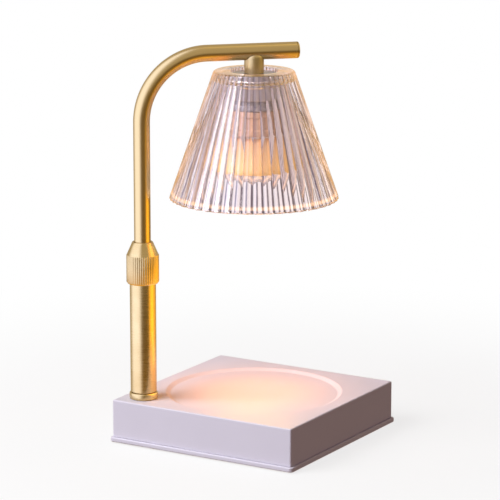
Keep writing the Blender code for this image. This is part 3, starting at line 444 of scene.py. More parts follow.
def length_of(tree, vector):
    return node(tree, "ShaderNodeVectorMath", {0: vector}, operation="LENGTH").outputs["Value"]


def noise(tree, where, scale, detail=2.0, roughness=0.5):
    inputs = {"Vector": where, "Scale": scale, "Detail": detail, "Roughness": roughness}
    return node(tree, "ShaderNodeTexNoise", inputs).outputs["Fac"]


def stretched(tree, where, scale):
    return node(tree, "ShaderNodeMapping", {"Vector": where, "Scale": scale}).outputs[0]


def object_place(tree):
    return node(tree, "ShaderNodeTexCoord").outputs["Object"]


def height_of(tree, where):
    return node(tree, "ShaderNodeSeparateXYZ", {"Vector": where}).outputs["Z"]


def heading_of(tree, where):
    """The angle round the Z axis."""
    parts = node(tree, "ShaderNodeSeparateXYZ", {"Vector": where})
    return maths(tree, "ARCTAN2", parts.outputs["Y"], parts.outputs["X"])


def ranged(tree, value, low, high, from_low=0.0, from_high=1.0, smooth_step=False):
    made = node(tree, "ShaderNodeMapRange", {"Value": value, "From Min": from_low, "From Max": from_high,
                                             "To Min": low, "To Max": high})
    if smooth_step:
        made.interpolation_type = "SMOOTHSTEP"
    return made.outputs["Result"]


def build_grain(tree, given, result):
    """Fine grain, and soft clouds some thirty times as large."""
    where, scale = given.outputs["Vector"], given.outputs["Scale"]
    tree.links.new(noise(tree, where, scale, 3.0, 0.6), result.inputs["Grain"])
    tree.links.new(noise(tree, where, maths(tree, "MULTIPLY", scale, 0.03)), result.inputs["Cloud"])


def build_brushed(tree, given, result):
    """Fine lines that run round the turning axis, broken up along their length."""
    where = given.outputs["Vector"]
    drawn = stretched(tree, where, (0.02, 0.02, 1.0))
    tree.links.new(noise(tree, drawn, given.outputs["Density"], 4.0, 0.7), result.inputs["Lines"])
    tree.links.new(noise(tree, where, 60.0, 3.0), result.inputs["Haze"])


def grouped(tree, name, where, knob, value, results, build):
    """What a named node group gives for a vector and one number; the group is built once."""
    source = bpy.data.node_groups.get(name)
    if source is None:
        source = bpy.data.node_groups.new(name, "ShaderNodeTree")
        source.interface.new_socket(name="Vector", in_out="INPUT", socket_type="NodeSocketVector")
        source.interface.new_socket(name=knob, in_out="INPUT", socket_type="NodeSocketFloat")
        for result in results:
            source.interface.new_socket(name=result, in_out="OUTPUT", socket_type="NodeSocketFloat")
        build(source, source.nodes.new("NodeGroupInput"), source.nodes.new("NodeGroupOutput"))
    made = node(tree, "ShaderNodeGroup", {"Vector": where, knob: value}, node_tree=source)
    return [made.outputs[result] for result in results]


def place_grain(tree, scale):
    """The grain group on object coordinates."""
    where = object_place(tree)
    return grouped(tree, "Surface Grain", where, "Scale", scale, ("Grain", "Cloud"), build_grain)


def place_brushed(tree, density):
    """The brushed group on the piece's own turning attribute."""
    where = node(tree, "ShaderNodeAttribute", attribute_name="turning").outputs["Vector"]
    return grouped(tree, "Brushed Lines", where, "Density", density, ("Lines", "Haze"), build_brushed)


def bumped(tree, height, strength, distance):
    made = node(tree, "ShaderNodeBump", {"Height": height, "Strength": strength, "Distance": distance})
    return made.outputs["Normal"]


# Materials

def new_material(name, constants):
    """A material with a Principled BSDF whose plain values are set on its own sockets."""
    made = bpy.data.materials.new(FINISH_NAME.format(name))
    made.use_nodes = True
    shader = made.node_tree.nodes["Principled BSDF"]
    for socket, value in constants.items():
        shader.inputs[socket].default_value = value
    return made, made.node_tree, shader


def feed(shader, sources):
    """Links an output socket to each of the shader's named inputs."""
    for key, source in sources.items():
        shader.id_data.links.new(source, shader.inputs[key])


def grained(name, first, second, scale, constants, rough, bump=(0.3, 0.00002)):
    """A material whose colour and roughness drift with grain and clouds."""
    made, tree, shader = new_material(name, constants)
    grain, cloud = place_grain(tree, scale)
    feed(shader, {"Base Color": mixed(tree, cloud, first, second),
                  "Roughness": ranged(tree, grain, *rough),
                  "Normal": bumped(tree, grain, *bump)})
    return made


def brushed(name, first, second, density, rough, bump=(0.14, 0.00002)):
    """Metal with fine lines round its turning axis."""
    made, tree, shader = new_material(name, {"Metallic": 1.0})
    lines, haze = place_brushed(tree, density)
    dark = ranged(tree, maths(tree, "MULTIPLY", lines, haze), 1.0, 0.0, 0.12, 0.42)
    feed(shader, {"Base Color": mixed(tree, dark, first, second),
                  "Roughness": ranged(tree, lines, *rough, 0.3, 0.7),
                  "Normal": bumped(tree, lines, *bump)})
    return made


def shade_of(values, share):
    """A colour scaled by a share."""
    return [value * share for value in values]


def make_paint(look):
    return grained("paint", look.paint, shade_of(look.paint, 0.955), 1400.0,
                   {"Specular IOR Level": 0.42, "IOR": 1.5}, (0.40, 0.52), (0.22, 0.00003))


def make_brass(look):
    return brushed("brass", look.brass, look.brass_dark, 5200.0, (0.24, 0.36))


def make_polished_brass(look):
    return brushed("polished_brass", look.brass, look.brass_dark, 4200.0, (0.16, 0.24), (0.05, 0.00002))


def make_satin_brass(look):
    return brushed("satin_brass", shade_of(look.brass, 0.94), shade_of(look.brass_dark, 0.90), 4200.0,
                   (0.33, 0.43), (0.05, 0.00002))


def make_steel(look):
    return grained("steel", (0.52, 0.52, 0.54), (0.40, 0.40, 0.42), 900.0, {"Metallic": 1.0}, (0.28, 0.42))


def make_cup_steel(look):
    return brushed("cup_steel", (0.66, 0.64, 0.66), (0.52, 0.50, 0.52), 3600.0, (0.30, 0.42))


def make_dark_plastic(look):
    return grained("dark_plastic", look.holder, shade_of(look.holder, 1.5), 1200.0, {}, (0.42, 0.58))


def make_rubber(look):
    return grained("rubber", (0.030, 0.030, 0.031), (0.050, 0.049, 0.048), 1500.0, {}, (0.72, 0.86),
                   (0.5, 0.00004))


def make_ceramic(look):
    return grained("ceramic", look.ceramic, shade_of(look.ceramic, 0.82), 900.0, {}, (0.34, 0.50))


def make_white_ceramic(look):
    return grained("white_ceramic", (0.74, 0.71, 0.66), (0.66, 0.62, 0.56), 900.0, {}, (0.38, 0.55))


def make_sheath(look):
    return grained("sheath", (0.62, 0.60, 0.56), (0.52, 0.50, 0.46), 1800.0, {}, (0.55, 0.70),
                   (0.5, 0.00005))


def make_mirror(look):
    return grained("mirror", (0.90, 0.84, 0.74), (0.82, 0.74, 0.62), 500.0, {"Metallic": 1.0}, (0.05, 0.12))


def reed_phase(tree, where):
    """Zero in the valleys between the reeds and a half on their crests."""
    count = bpy.context.scene.lamp_shade.reeds / math.tau
    return maths(tree, "PINGPONG", maths(tree, "MULTIPLY", heading_of(tree, where), count), 0.5)


def outline_of_shade(tree, where):
    """A layer weight that rises towards the shade's outline, whatever its reeds do."""
    flat = stretched(tree, where, (1.0, 1.0, 0.0))
    outward = node(tree, "ShaderNodeVectorMath", {0: flat}, operation="NORMALIZE").outputs[0]
    outward = node(tree, "ShaderNodeVectorTransform", {"Vector": outward}, vector_type="VECTOR",
                   convert_from="OBJECT", convert_to="WORLD").outputs[0]
    facing = node(tree, "ShaderNodeLayerWeight", {"Blend": 0.5, "Normal": outward}).outputs["Facing"]
    return ranged(tree, facing, 0.0, 1.0, 0.50, 0.85, True)


def make_glass(look):
    """Clear tinted glass, drawn a little uneven down its reeds, with a painted warm glow and painted shade
    in its valleys.
    """
    constants = {"Transmission Weight": 1.0, "IOR": 1.50, "Emission Strength": 0.28, "Coat IOR": 1.9,
                 "Coat Roughness": 0.05}
    made, tree, shader = new_material("shade_glass", constants)
    where = object_place(tree)
    height = height_of(tree, where)
    phase = reed_phase(tree, where)
    edge = outline_of_shade(tree, where)
    # Painted warm glow: emission where the glass turns away, at its outline and just above its mouth.
    facing = node(tree, "ShaderNodeLayerWeight", {"Blend": 0.35}).outputs["Facing"]
    mouth = SHADE_LOW.z
    lip_low = ranged(tree, height, 0.0, 0.9, mouth + 0.0022, mouth + 0.0030, True)
    lip_high = ranged(tree, height, 1.0, 0.0, mouth + 0.0040, mouth + 0.0056, True)
    warm = maths(tree, "MAXIMUM", ranged(tree, facing, 0.0, 1.0, 0.45, 1.0), ranged(tree, edge, 0.0, 0.75))
    warm = maths(tree, "MAXIMUM", warm, maths(tree, "MULTIPLY", lip_low, lip_high))
    # Painted shade: the valleys between the reeds are darker, more so in the flat top's band and most just
    # above the mouth.
    flange = SHADE_HIGH.z - bpy.context.scene.lamp_shade.flange
    in_flange = ranged(tree, height, 0.0, 1.0, flange - 0.001, flange)
    at_mouth = ranged(tree, height, 1.0, 0.0, mouth + 0.0016, mouth + 0.0028, True)
    valley_shade = mixed(tree, in_flange, shade_of(look.glass, 0.60), shade_of(look.glass, 0.42))
    valley_shade = mixed(tree, at_mouth, valley_shade, shade_of(look.glass, 0.22))
    plain = mixed(tree, ranged(tree, phase, 1.0, 0.0, 0.02, 0.18, True), look.glass, valley_shade)
    ripple = noise(tree, stretched(tree, where, (1.0, 1.0, 0.12)), 220.0)
    # Painted warm light: the glass colour turns to the edge glow colour at the shade's outline.
    feed(shader, {"Base Color": mixed(tree, edge, plain, look.painted_edge_glow),
                  "Emission Color": mixed(tree, warm, (0, 0, 0), look.glow),
                  "Coat Weight": ranged(tree, phase, 0.0, 1.0, 0.24, 0.44, True),
                  "Roughness": ranged(tree, ripple, 0.0, 0.04),
                  "Normal": bumped(tree, ripple, 0.25, 0.0003)})
    return made


def make_bulb_glass(look):
    """The bulb's lit front: pressed dimples that glow, brightest in the middle."""
    made, tree, shader = new_material("bulb_glass", {"Emission Strength": look.glow_strength, "IOR": 1.45})
    flat = stretched(tree, object_place(tree), (1.0, 1.0, 0.0))
    falling = ranged(tree, length_of(tree, flat), 0.0, 1.0, 0.0, LENS_HIGH.x, True)
    dimples = node(tree, "ShaderNodeTexVoronoi", {"Vector": flat, "Scale": 420.0}).outputs["Distance"]
    feed(shader, {"Base Color": mixed(tree, dimples, (0.86, 0.80, 0.70), (0.70, 0.62, 0.50)),
                  "Emission Color": mixed(tree, falling, (1.0, 0.80, 0.52), look.glow),
                  "Roughness": ranged(tree, dimples, 0.10, 0.30),
                  "Normal": bumped(tree, dimples, 0.5, 0.0003)})
    return made


def make_reflector_glow(look):
    """The outside of the bulb's reflector, which lets a warm light through towards its rim."""
    constants = {"Emission Strength": 0.42, "Specular IOR Level": 0.5}
    made, tree, shader = new_material("reflector_glow", constants)
    height = height_of(tree, object_place(tree))
    rising = ranged(tree, height, 0.0, 1.0, REFLECTOR_LOW.z, REFLECTOR_HIGH.z, True)
    grain = place_grain(tree, 700.0)[0]
    feed(shader, {"Base Color": mixed(tree, rising, (0.66, 0.42, 0.22), (0.60, 0.36, 0.22)),
                  "Emission Color": mixed(tree, rising, (1.0, 0.52, 0.06), (0.42, 0.19, 0.08)),
                  "Roughness": ranged(tree, grain, 0.20, 0.34)})
    return made


MAKERS = {
    "paint": make_paint,
    "brass": make_brass,
    "polished_brass": make_polished_brass,
    "satin_brass": make_satin_brass,
    "steel": make_steel,
    "cup_steel": make_cup_steel,
    "dark_plastic": make_dark_plastic,
    "rubber": make_rubber,
    "ceramic": make_ceramic,
    "white_ceramic": make_white_ceramic,
    "sheath": make_sheath,
    "mirror": make_mirror,
    "shade_glass": make_glass,
    "bulb_glass": make_bulb_glass,
    "reflector_glow": make_reflector_glow,
}


def finish(name):
    """The named material, made when it is first asked for."""
    return (bpy.data.materials.get(FINISH_NAME.format(name))
            or MAKERS[name](bpy.context.scene.lamp_finish))


# Names and places of repeated pieces

def four_corners(distance):
    return [(x * distance, y * distance) for x in (-1, 1) for y in (-1, 1)]


def boxed_middle(name):
    low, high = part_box(name)
    return (low + high) / 2


def base_screw_names():
    return [f"base_screw_{index}" for index in range(1, 5)] + ["ballast_screw_1", "ballast_screw_2"]


# The lamp's pieces

class LAMP_OT_housing(bpy.types.Operator):
    """Models the painted base housing with its round recess"""
    bl_idname = "lamp.housing"
    bl_label = "Base Housing"
    BOSS = 0.0050
    PILOT_DEPTH = 0.0120
    GLAND_HOLE = 0.0055

    def execute(self, context):
        sizes = context.scene.lamp_base
        housing = block("housing", HOUSING_LOW, HOUSING_HIGH)
        half = HOUSING_HIGH.x
        pick(housing, "EDGE", lambda ends: abs(ends[0].z - ends[1].z) > GAP)
        bpy.ops.mesh.bevel(offset=sizes.corner, segments=ARC_STEPS, affect="EDGES")
        pick(housing, "EDGE", lambda ends: min(end.z for end in ends) > BASE_TOP - GAP)
        bpy.ops.mesh.bevel(offset=sizes.top_edge, segments=ARC_STEPS, affect="EDGES")
        pick(housing, "FACE", lambda points: min(point.z for point in points) > BASE_TOP - MERGE)
        bpy.ops.mesh.delete(type="FACE")
        self.add_recess(housing, sizes)
        inner = half - sizes.wall
        ceiling = BASE_TOP - sizes.top_wall
        cut(housing, block("cavity", (-inner, -inner, HOUSING_LOW.z - OVERRUN), (inner, inner, ceiling)))
        self.add_bosses(housing, ceiling)
        self.cut_holes(housing, sizes, ceiling)
        smooth(housing, weighted=True)
        hand_over(housing, "base", "paint", "paint", "base_housing")
        return {"FINISHED"}

    def add_recess(self, housing, sizes):
        """Joins the recess, with its rounded edges, to the open top and fills the flat between."""
        floor = BASE_TOP - sizes.recess_depth
        radius = sizes.recess_radius
        section = [(0, floor, 0), (radius - sizes.recess_slope, floor, sizes.recess_fillet),
                   (radius, BASE_TOP, sizes.recess_fillet), (radius + sizes.recess_fillet, BASE_TOP, 0)]
        turned("recess", section, FINE, closed=False)
        housing.select_set(True)
        bpy.context.view_layer.objects.active = housing
        bpy.ops.object.join()
        bpy.ops.object.mode_set(mode="EDIT")
        bpy.ops.mesh.select_mode(type="EDGE")
        bpy.ops.mesh.select_all(action="DESELECT")
        bpy.ops.mesh.select_non_manifold(use_wire=False, use_multi_face=False, use_non_contiguous=False,
                                         use_verts=False)
        bpy.ops.mesh.fill()
        tidy_mesh(housing)

    def add_bosses(self, housing, ceiling):
        low = HOUSING_LOW.z
        for index in range(1, 5):
            centre = boxed_middle(f"base_screw_{index}")
            cut(housing, rod("boss", centre, self.BOSS, low, ceiling + GAP), "UNION")
            cut(housing, rod("pilot", centre, SCREW_SHANK_ROOM, low - OVERRUN, low + self.PILOT_DEPTH))

    def cut_holes(self, housing, sizes, ceiling):
        spigot = FOOT_RING_HIGH.x - POST_AXIS.x - OVERRUN
        cut(housing, rod("post_hole", POST_AXIS, spigot, ceiling - OVERRUN, BASE_TOP + OVERRUN))
        hole = rod("gland_hole", (0, 0), self.GLAND_HOLE, -OVERRUN, OVERRUN + sizes.wall)
        gland = boxed_middle("cord_gland")
        cut(housing, put(hole, (HOUSING_LOW.x, gland.y, gland.z), SIDEWAYS))


class LAMP_OT_base_plate(bpy.types.Operator):
    """Models the plate under the housing"""
    bl_idname = "lamp.base_plate"
    bl_label = "Base Plate"
    SEAT_DEPTH = 0.0025
    HEAD_DEPTH = 0.0030

    def execute(self, context):
        sizes = context.scene.lamp_base
        plate = block("plate", PLATE_LOW, PLATE_HIGH)
        pick(plate, "EDGE", lambda ends: abs(ends[0].z - ends[1].z) > GAP)
        bpy.ops.mesh.bevel(offset=sizes.plate_corner, segments=2 * ARC_STEPS, affect="EDGES")
        pick(plate, "EDGE", lambda ends: abs(ends[0].z - ends[1].z) < GAP)
        bpy.ops.mesh.bevel(offset=sizes.plate_edge, segments=ARC_STEPS, affect="EDGES")
        bpy.ops.object.mode_set(mode="OBJECT")
        inset = PLATE_HIGH.x - HOUSING_HIGH.x + sizes.foot_inset
        for place in four_corners(PLATE_HIGH.x - inset):
            cut(plate, rod("seat", place, sizes.foot_radius + GAP, 0, self.SEAT_DEPTH))
        for name in base_screw_names():
            centre = boxed_middle(name)
            cut(plate, rod("head_room", centre, SCREW_HEAD_ROOM, 0, self.HEAD_DEPTH))
            cut(plate, rod("shank_room", centre, SCREW_SHANK_ROOM, 0, PLATE_TOP + OVERRUN))
        smooth(plate, weighted=True)
        hand_over(plate, "base", "paint", "paint", "base_plate")
        return {"FINISHED"}


class LAMP_OT_feet_and_screws(bpy.types.Operator):
    """Models the rubber feet and the screws under the base"""
    bl_idname = "lamp.feet_and_screws"
    bl_label = "Feet and Screws"

    def execute(self, context):
        self.make_feet()
        self.make_screws()
        return {"FINISHED"}

    def make_feet(self):
        low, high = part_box("foot_pad_1")
        radius = (high.x - low.x) / 2
        hollow, edge = 0.0002, 0.0001
        section = [(0, hollow, 0), (radius * 0.55, hollow, edge), (radius * 0.62, low.z, edge),
                   (radius, low.z, 0.0005), (radius, high.z, 0.0002), (0, high.z, 0)]
        model = turned("foot", section, SMALL)
        smooth(model)
        for index in range(1, 5):
            centre = boxed_middle(f"foot_pad_{index}")
            foot = copy_to(model, f"foot_{index}", (centre.x, centre.y, 0))
            hand_over(foot, "base", "rubber", "rubber", f"foot_pad_{index}")
        remove(model)

    def make_screws(self):
        """One cross-head screw for each length, copied to its places."""
        head, shank, tip = 0.0028, 0.0015, 0.0004
        head_height, tip_length = 0.0017, 0.0010
        slot_reach, slot_half, slot_depth = 0.0019, 0.00035, 0.0008
        for stem in ("base_screw", "ballast_screw"):
            low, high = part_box(f"{stem}_1")
            rim = low.z + head_height
            section = [(0, low.z, 0), (head, low.z, 0.0008), (head, rim, 0.0002), (shank, rim, 0),
                       (shank, high.z - tip_length, 0), (tip, high.z, 0), (0, high.z, 0)]
            model = turned("screw", section, SMALL)
            for turn in (0, math.pi / 2):
                slot = block("slot", (-slot_reach, -slot_half, low.z - OVERRUN),
                             (slot_reach, slot_half, low.z + slot_depth))
                cut(model, put(slot, (0, 0, 0), (0, 0, turn)))
            smooth(model)
            for name in base_screw_names():
                if name.startswith(stem):
                    centre = boxed_middle(name)
                    screw = copy_to(model, name.replace("_screw", "_fixing"), (centre.x, centre.y, 0))
                    hand_over(screw, "base", "steel", "steel", name)
            remove(model)


class LAMP_OT_gland(bpy.types.Operator):
    """Models the gland in the back wall of the base"""
    bl_idname = "lamp.gland"
    bl_label = "Cord Gland"

    def execute(self, context):
        low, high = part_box("cord_gland")
        centre = (low + high) / 2
        bore, barrel, flange = 0.0035, 0.0052, (high.z - low.z) / 2
        face, shoulder = flange - 0.0022, flange - 0.0016
        proud, inside = HOUSING_LOW.x - low.x, high.x - HOUSING_LOW.x
        section = [(bore, -proud, 0), (face, -proud, 0.0003), (shoulder, -proud * 0.7, 0.0003),
                   (flange, -proud * 0.6, 0.0004), (flange, -GAP, 0.0001), (barrel, -GAP, 0),
                   (barrel, inside, 0.0004), (bore, inside, 0)]
        gland = put(turned("gland", section, SMALL), (HOUSING_LOW.x, centre.y, centre.z), SIDEWAYS)
        smooth(gland)
        hand_over(gland, "base", "dark_plastic", "dark_plastic", "cord_gland")
        return {"FINISHED"}


class LAMP_OT_post(bpy.types.Operator):
    """Models the lower tube and the ring at its foot"""
    bl_idname = "lamp.post"
    bl_label = "Post"
    SPIGOT_STEP = 0.0010
    SPIGOT_WALL = 0.0015
    STEP_HEIGHT = 0.0020

    def execute(self, context):
        sizes = context.scene.lamp_stem
        radius = POST_HIGH.x - POST_AXIS.x
        bore = radius - sizes.post_wall
        spigot = radius - self.SPIGOT_STEP
        spigot_bore = spigot - self.SPIGOT_WALL
        start = FOOT_RING_HIGH.z + GAP
        step = start + self.STEP_HEIGHT
        edge = 0.0005
        section = [(spigot_bore, POST_LOW.z, 0), (spigot, POST_LOW.z, edge), (spigot, start, 0),
                   (radius, start, edge), (radius, POST_HIGH.z, edge), (bore, POST_HIGH.z, 0),
                   (bore, step, 0), (spigot_bore, step, 0)]
        post = turned("post", section, ROUND, POST_AXIS)
        smooth(post)
        hand_over(post, "base", "brass", "brass", "post_tube")
        outer, low, high = FOOT_RING_HIGH.x - POST_AXIS.x, FOOT_RING_LOW.z, FOOT_RING_HIGH.z
        hole = spigot + GAP
        section = [(hole, low, 0), (outer, low, edge), (outer, high, sizes.ring_fillet),
                   (radius - edge, high, edge / 5), (hole, high - edge / 2, 0)]
        ring = turned("post_ring", section, ROUND, POST_AXIS)
        smooth(ring)
        hand_over(ring, "base", "brass", "brass", "post_foot_ring")
        return {"FINISHED"}


class LAMP_OT_clamp_nut(bpy.types.Operator):
    """Models the knurled clamp nut with its cone"""
    bl_idname = "lamp.clamp_nut"
    bl_label = "Clamp Nut"
    COLLET_ROOM = 0.0012
    COLLET_DEPTH = 0.0075

    def execute(self, context):
        sizes = context.scene.lamp_stem
        radius = NUT_HIGH.x - POST_AXIS.x
        low, top = NUT_LOW.z, NUT_HIGH.z
        high = top - sizes.nut_cone
        chamfer, depth, edge = sizes.nut_chamfer, sizes.knurl_depth, 0.0004
        thread = POST_HIGH.x - POST_AXIS.x + GAP
        hole = sizes.arm_radius + GAP
        collet_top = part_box("clamp_collet")[1].z
        rings = [(thread, low, 0), (radius - chamfer - edge, low, 0),
                 (radius - chamfer, low + edge / 4, 0), (radius - edge, low + chamfer, 0),
                 (radius, low + chamfer + edge, depth),
                 (radius, high - edge, depth), (radius - edge / 2, high, depth / 3),
                 (radius - edge, high + edge / 2, 0)]
        cone_start = Vector((radius - edge, high + edge / 2))
        cone_end = Vector((sizes.nut_cone_radius, top - edge))
        rings += [(*cone_start.lerp(cone_end, step / 4), 0) for step in range(1, 5)]
        rings += [(sizes.nut_cone_radius - edge, top, 0), (hole + edge / 2, top, 0),
                  (hole, top - edge / 2, 0), (hole, collet_top + GAP, 0),
                  (hole + self.COLLET_ROOM, collet_top + GAP, 0),
                  (thread, collet_top - self.COLLET_DEPTH, 0)]
        nut = lobed("nut", POST_AXIS, rings, sizes.knurl_count, 6)
        mark_turning(nut)
        smooth(nut, angle=math.radians(40))
        hand_over(nut, "nut", "brass", "polished_brass", "clamp_nut")
        nut.data.materials.append(finish("satin_brass"))
        for face in nut.data.polygons:
            spread = (Vector((face.center.x, face.center.y, 0)) - POST_AXIS).length
            if low + chamfer < face.center.z < high and spread > radius - 2 * chamfer:
                face.material_index = 1
        return {"FINISHED"}


class LAMP_OT_arm(bpy.types.Operator):
    """Models the bent upper tube and the cap in its end"""
    bl_idname = "lamp.arm"
    bl_label = "Arm"

    def execute(self, context):
        sizes = context.scene.lamp_stem
        height = ARM_HIGH.z - sizes.arm_radius
        bend_start = height - sizes.arm_bend
        arm = self.draw_tube(sizes, bend_start)
        self.make_cap(sizes, height)
        smooth(arm)
        hand_over(arm, "arm", "brass", "brass", "arm_tube")
        return {"FINISHED"}

    def draw_tube(self, sizes, bend_start):
        """A circle extruded up, spun round the bend and extruded out, then given its wall."""
        deselect()
        bpy.ops.mesh.primitive_circle_add(vertices=ROUND, radius=sizes.arm_radius, fill_type="NOTHING",
                                          location=(POST_AXIS.x, POST_AXIS.y, ARM_LOW.z))
        arm = settle(named("arm"))
        bpy.ops.object.mode_set(mode="EDIT")
        bpy.ops.mesh.select_mode(type="VERT")
        bpy.ops.mesh.select_all(action="SELECT")
        rise = (0, 0, (bend_start - ARM_LOW.z) / 8)
        for _ in range(8):
            bpy.ops.mesh.extrude_edges_move(TRANSFORM_OT_translate={"value": rise})
        centre = POST_AXIS + ARM_DIRECTION * sizes.arm_bend + UP * bend_start
        bpy.ops.mesh.spin(steps=36, angle=-math.pi / 2, center=centre, axis=UP.cross(ARM_DIRECTION))
        for distance in arm_run(sizes):
            bpy.ops.mesh.extrude_edges_move(TRANSFORM_OT_translate={"value": ARM_DIRECTION * distance})
        tidy_mesh(arm)
        self.mark_unbent(arm, sizes, bend_start)
        wall = arm.modifiers.new("wall", "SOLIDIFY")
        wall.thickness = sizes.arm_wall
        wall.offset = -1
        activate(arm)
        bpy.ops.object.modifier_apply(modifier=wall.name)
        height = bend_start + sizes.arm_bend
        return cut(arm, rod("lead_hole", SHADE_AXIS, LEAD_ROOM, height - 2 * sizes.arm_radius, height))

    def mark_unbent(self, arm, sizes, bend_start):
        """Stores each point's place on the tube as if it were still straight along Z."""
        attribute = arm.data.attributes.new("turning", "FLOAT_VECTOR", "POINT")
        across = UP.cross(ARM_DIRECTION)
        quarter = math.pi / 2 * sizes.arm_bend
        for index, vertex in enumerate(arm.data.vertices):
            offset = vertex.co - POST_AXIS
            along, side, height = offset.dot(ARM_DIRECTION), offset.dot(across), vertex.co.z
            if height <= bend_start:
                place = (along, side, height)
            elif along >= sizes.arm_bend:
                place = (bend_start + sizes.arm_bend - height, side,
                         bend_start + quarter + along - sizes.arm_bend)
            else:
                back, rise = sizes.arm_bend - along, height - bend_start
                angle = math.atan2(rise, back)
                place = (sizes.arm_bend - math.hypot(back, rise), side, bend_start + angle * sizes.arm_bend)
            attribute.data[index].vector = place

    def make_cap(self, sizes, height):
        inner = sizes.arm_radius - sizes.arm_wall - GAP
        thick, depth = 0.0012, 0.0053
        section = [(0, -depth, 0), (inner, -depth, 0.0004), (inner, 0, 0), (sizes.arm_radius, 0, 0),
                   (sizes.arm_radius, thick, 0.0008), (0, thick, 0)]
        end = POST_AXIS + ARM_DIRECTION * (arm_length(sizes) + GAP) + UP * height
        cap = put(turned("arm_cap", section, ROUND), end, ALONG_ARM)
        smooth(cap)
        hand_over(cap, "arm", "brass", "brass", "arm_end_cap")


def arm_length(sizes):
    """From the post's axis to the end of the tube, along the arm."""
    reach = (Vector((ARM_HIGH.x, ARM_HIGH.y, 0)) - POST_AXIS).dot(ARM_DIRECTION)
    return reach - sizes.arm_radius


def arm_run(sizes):
    """The straight run beyond the bend, with short steps beside the neck's hole."""
    beside = REACH - sizes.arm_bend - sizes.neck_radius
    beyond = arm_length(sizes) - REACH - sizes.neck_radius
    return [beside, sizes.neck_radius, sizes.neck_radius, beyond]


class LAMP_OT_neck_and_cup(bpy.types.Operator):
    """Models the neck under the arm and the cup in the shade's hole"""
    bl_idname = "lamp.neck_and_cup"
    bl_label = "Neck and Cup"
    NIPPLE = 0.0053
    NIPPLE_DEPTH = 0.0073
    SADDLE_DEPTH = 0.0016
    CUP_TOP = 0.0015

    def execute(self, context):
        self.make_neck(context.scene.lamp_stem)
        self.make_cup(context.scene.lamp_shade)
        return {"FINISHED"}

    def make_neck(self, sizes):
        axis_height = ARM_HIGH.z - sizes.arm_radius
        low, top = NECK_LOW.z, axis_height - self.SADDLE_DEPTH
        section = [(self.NIPPLE, low, 0), (sizes.neck_radius, low, 0.0004),
                   (sizes.neck_radius, top, sizes.neck_shoulder), (LEAD_ROOM, top, 0),
                   (LEAD_ROOM, low + self.NIPPLE_DEPTH, 0), (self.NIPPLE, low + self.NIPPLE_DEPTH, 0)]
        neck = turned("arm_neck", section, ROUND, SHADE_AXIS)
        saddle = rod("saddle", SHADE_AXIS, sizes.arm_radius + GAP, -REACH / 2, REACH / 2, ROUND)
        cut(neck, put(saddle, (0, 0, axis_height), ALONG_ARM))
        smooth(neck)
        hand_over(neck, "arm", "brass", "satin_brass", "neck")

    def make_cup(self, sizes):
        radius = CUP_HIGH.x
        inner = radius - sizes.cup_wall
        ceiling = CUP_HIGH.z - self.CUP_TOP
        section = [(inner, CUP_LOW.z, 0), (radius, CUP_LOW.z, 0.0003), (radius, CUP_HIGH.z, 0.0008),
                   (self.NIPPLE, CUP_HIGH.z, 0), (self.NIPPLE, ceiling, 0), (inner, ceiling, 0.0006)]
        cup = turned("cup", section, ROUND, SHADE_AXIS)
        smooth(cup)
        hand_over(cup, "arm", "steel", "cup_steel", "holder_cup")


class LAMP_OT_shade(bpy.types.Operator):
    """Models the reeded glass shade"""
    bl_idname = "lamp.shade"
    bl_label = "Glass Shade"

    def execute(self, context):
        sizes = context.scene.lamp_shade
        slope = (SHADE_HIGH.x - sizes.top_radius) / (SHADE_HIGH.z - SHADE_LOW.z)
        rings = self.outer_rings(sizes, slope)
        rings += self.inner_rings(sizes, slope, rings[0])
        shade = lobed("glass_shade", SHADE_AXIS, rings, sizes.reeds, 10)
        smooth(shade, angle=math.radians(28))
        shade.visible_shadow = False
        hand_over(shade, "arm", "shade_glass", "shade_glass", "shade")
        return {"FINISHED"}

    def outer_rings(self, sizes, slope):
        """From inside the mouth, round its lip, up the reeded side and over the crown."""
        mouth, rim, bottom, lip = SHADE_LOW.z, SHADE_HIGH.z, SHADE_HIGH.x, sizes.lip
        inner = bottom - sizes.wall
        reed = sizes.reed_depth * math.tau / sizes.reeds
        quarter = [math.pi / 2 * step / 4 for step in range(1, 5)]
        rings = [(inner + slope * lip, mouth + lip, 0)]
        for turn in quarter:
            rings.append((inner + lip * (1 - math.cos(turn)), mouth + lip - lip * math.sin(turn), 0))
        rings.append((bottom - lip, mouth, bottom * reed))
        for turn in quarter:
            reach = bottom - lip + lip * math.sin(turn) - slope * lip * (1 - math.cos(turn))
            rings.append((reach, mouth + lip - lip * math.cos(turn), bottom * reed))
        height = rim - mouth - 3 * lip
        for step in range(1, 9):
            rise = lip + height * step / 8
            reach = bottom - slope * rise
            rings.append((reach, mouth + rise, reach * reed))
        for step, turn in enumerate(quarter, 1):
            drop = 2 * lip * (1 - math.sin(turn))
            reach = sizes.top_radius - 2 * lip * (1 - math.cos(turn)) + slope * drop
            rings.append((reach, rim - drop, reach * reed * (1 - step / 10)))
        return rings

    def inner_rings(self, sizes, slope, mouth_ring):
        """Through the hole in the flat top, and down the cavity's cone to the mouth."""
        rim, lip, hole = SHADE_HIGH.z, sizes.lip, sizes.hole
        face = rim - sizes.flange
        ceiling = sizes.top_radius + slope * sizes.flange - sizes.wall
        rings = [(hole + lip, rim, 0), (hole + lip / 3, rim - lip / 4, 0), (hole, rim - lip, 0),
                 (hole, face + lip / 2, 0), (hole + lip / 2, face, 0), (ceiling - lip, face, 0),
                 (ceiling, face - lip / 2, 0)]
        start, end = Vector(rings[-1][:2]), Vector(mouth_ring[:2])
        return rings + [(*start.lerp(end, step / 6), 0) for step in range(1, 6)]


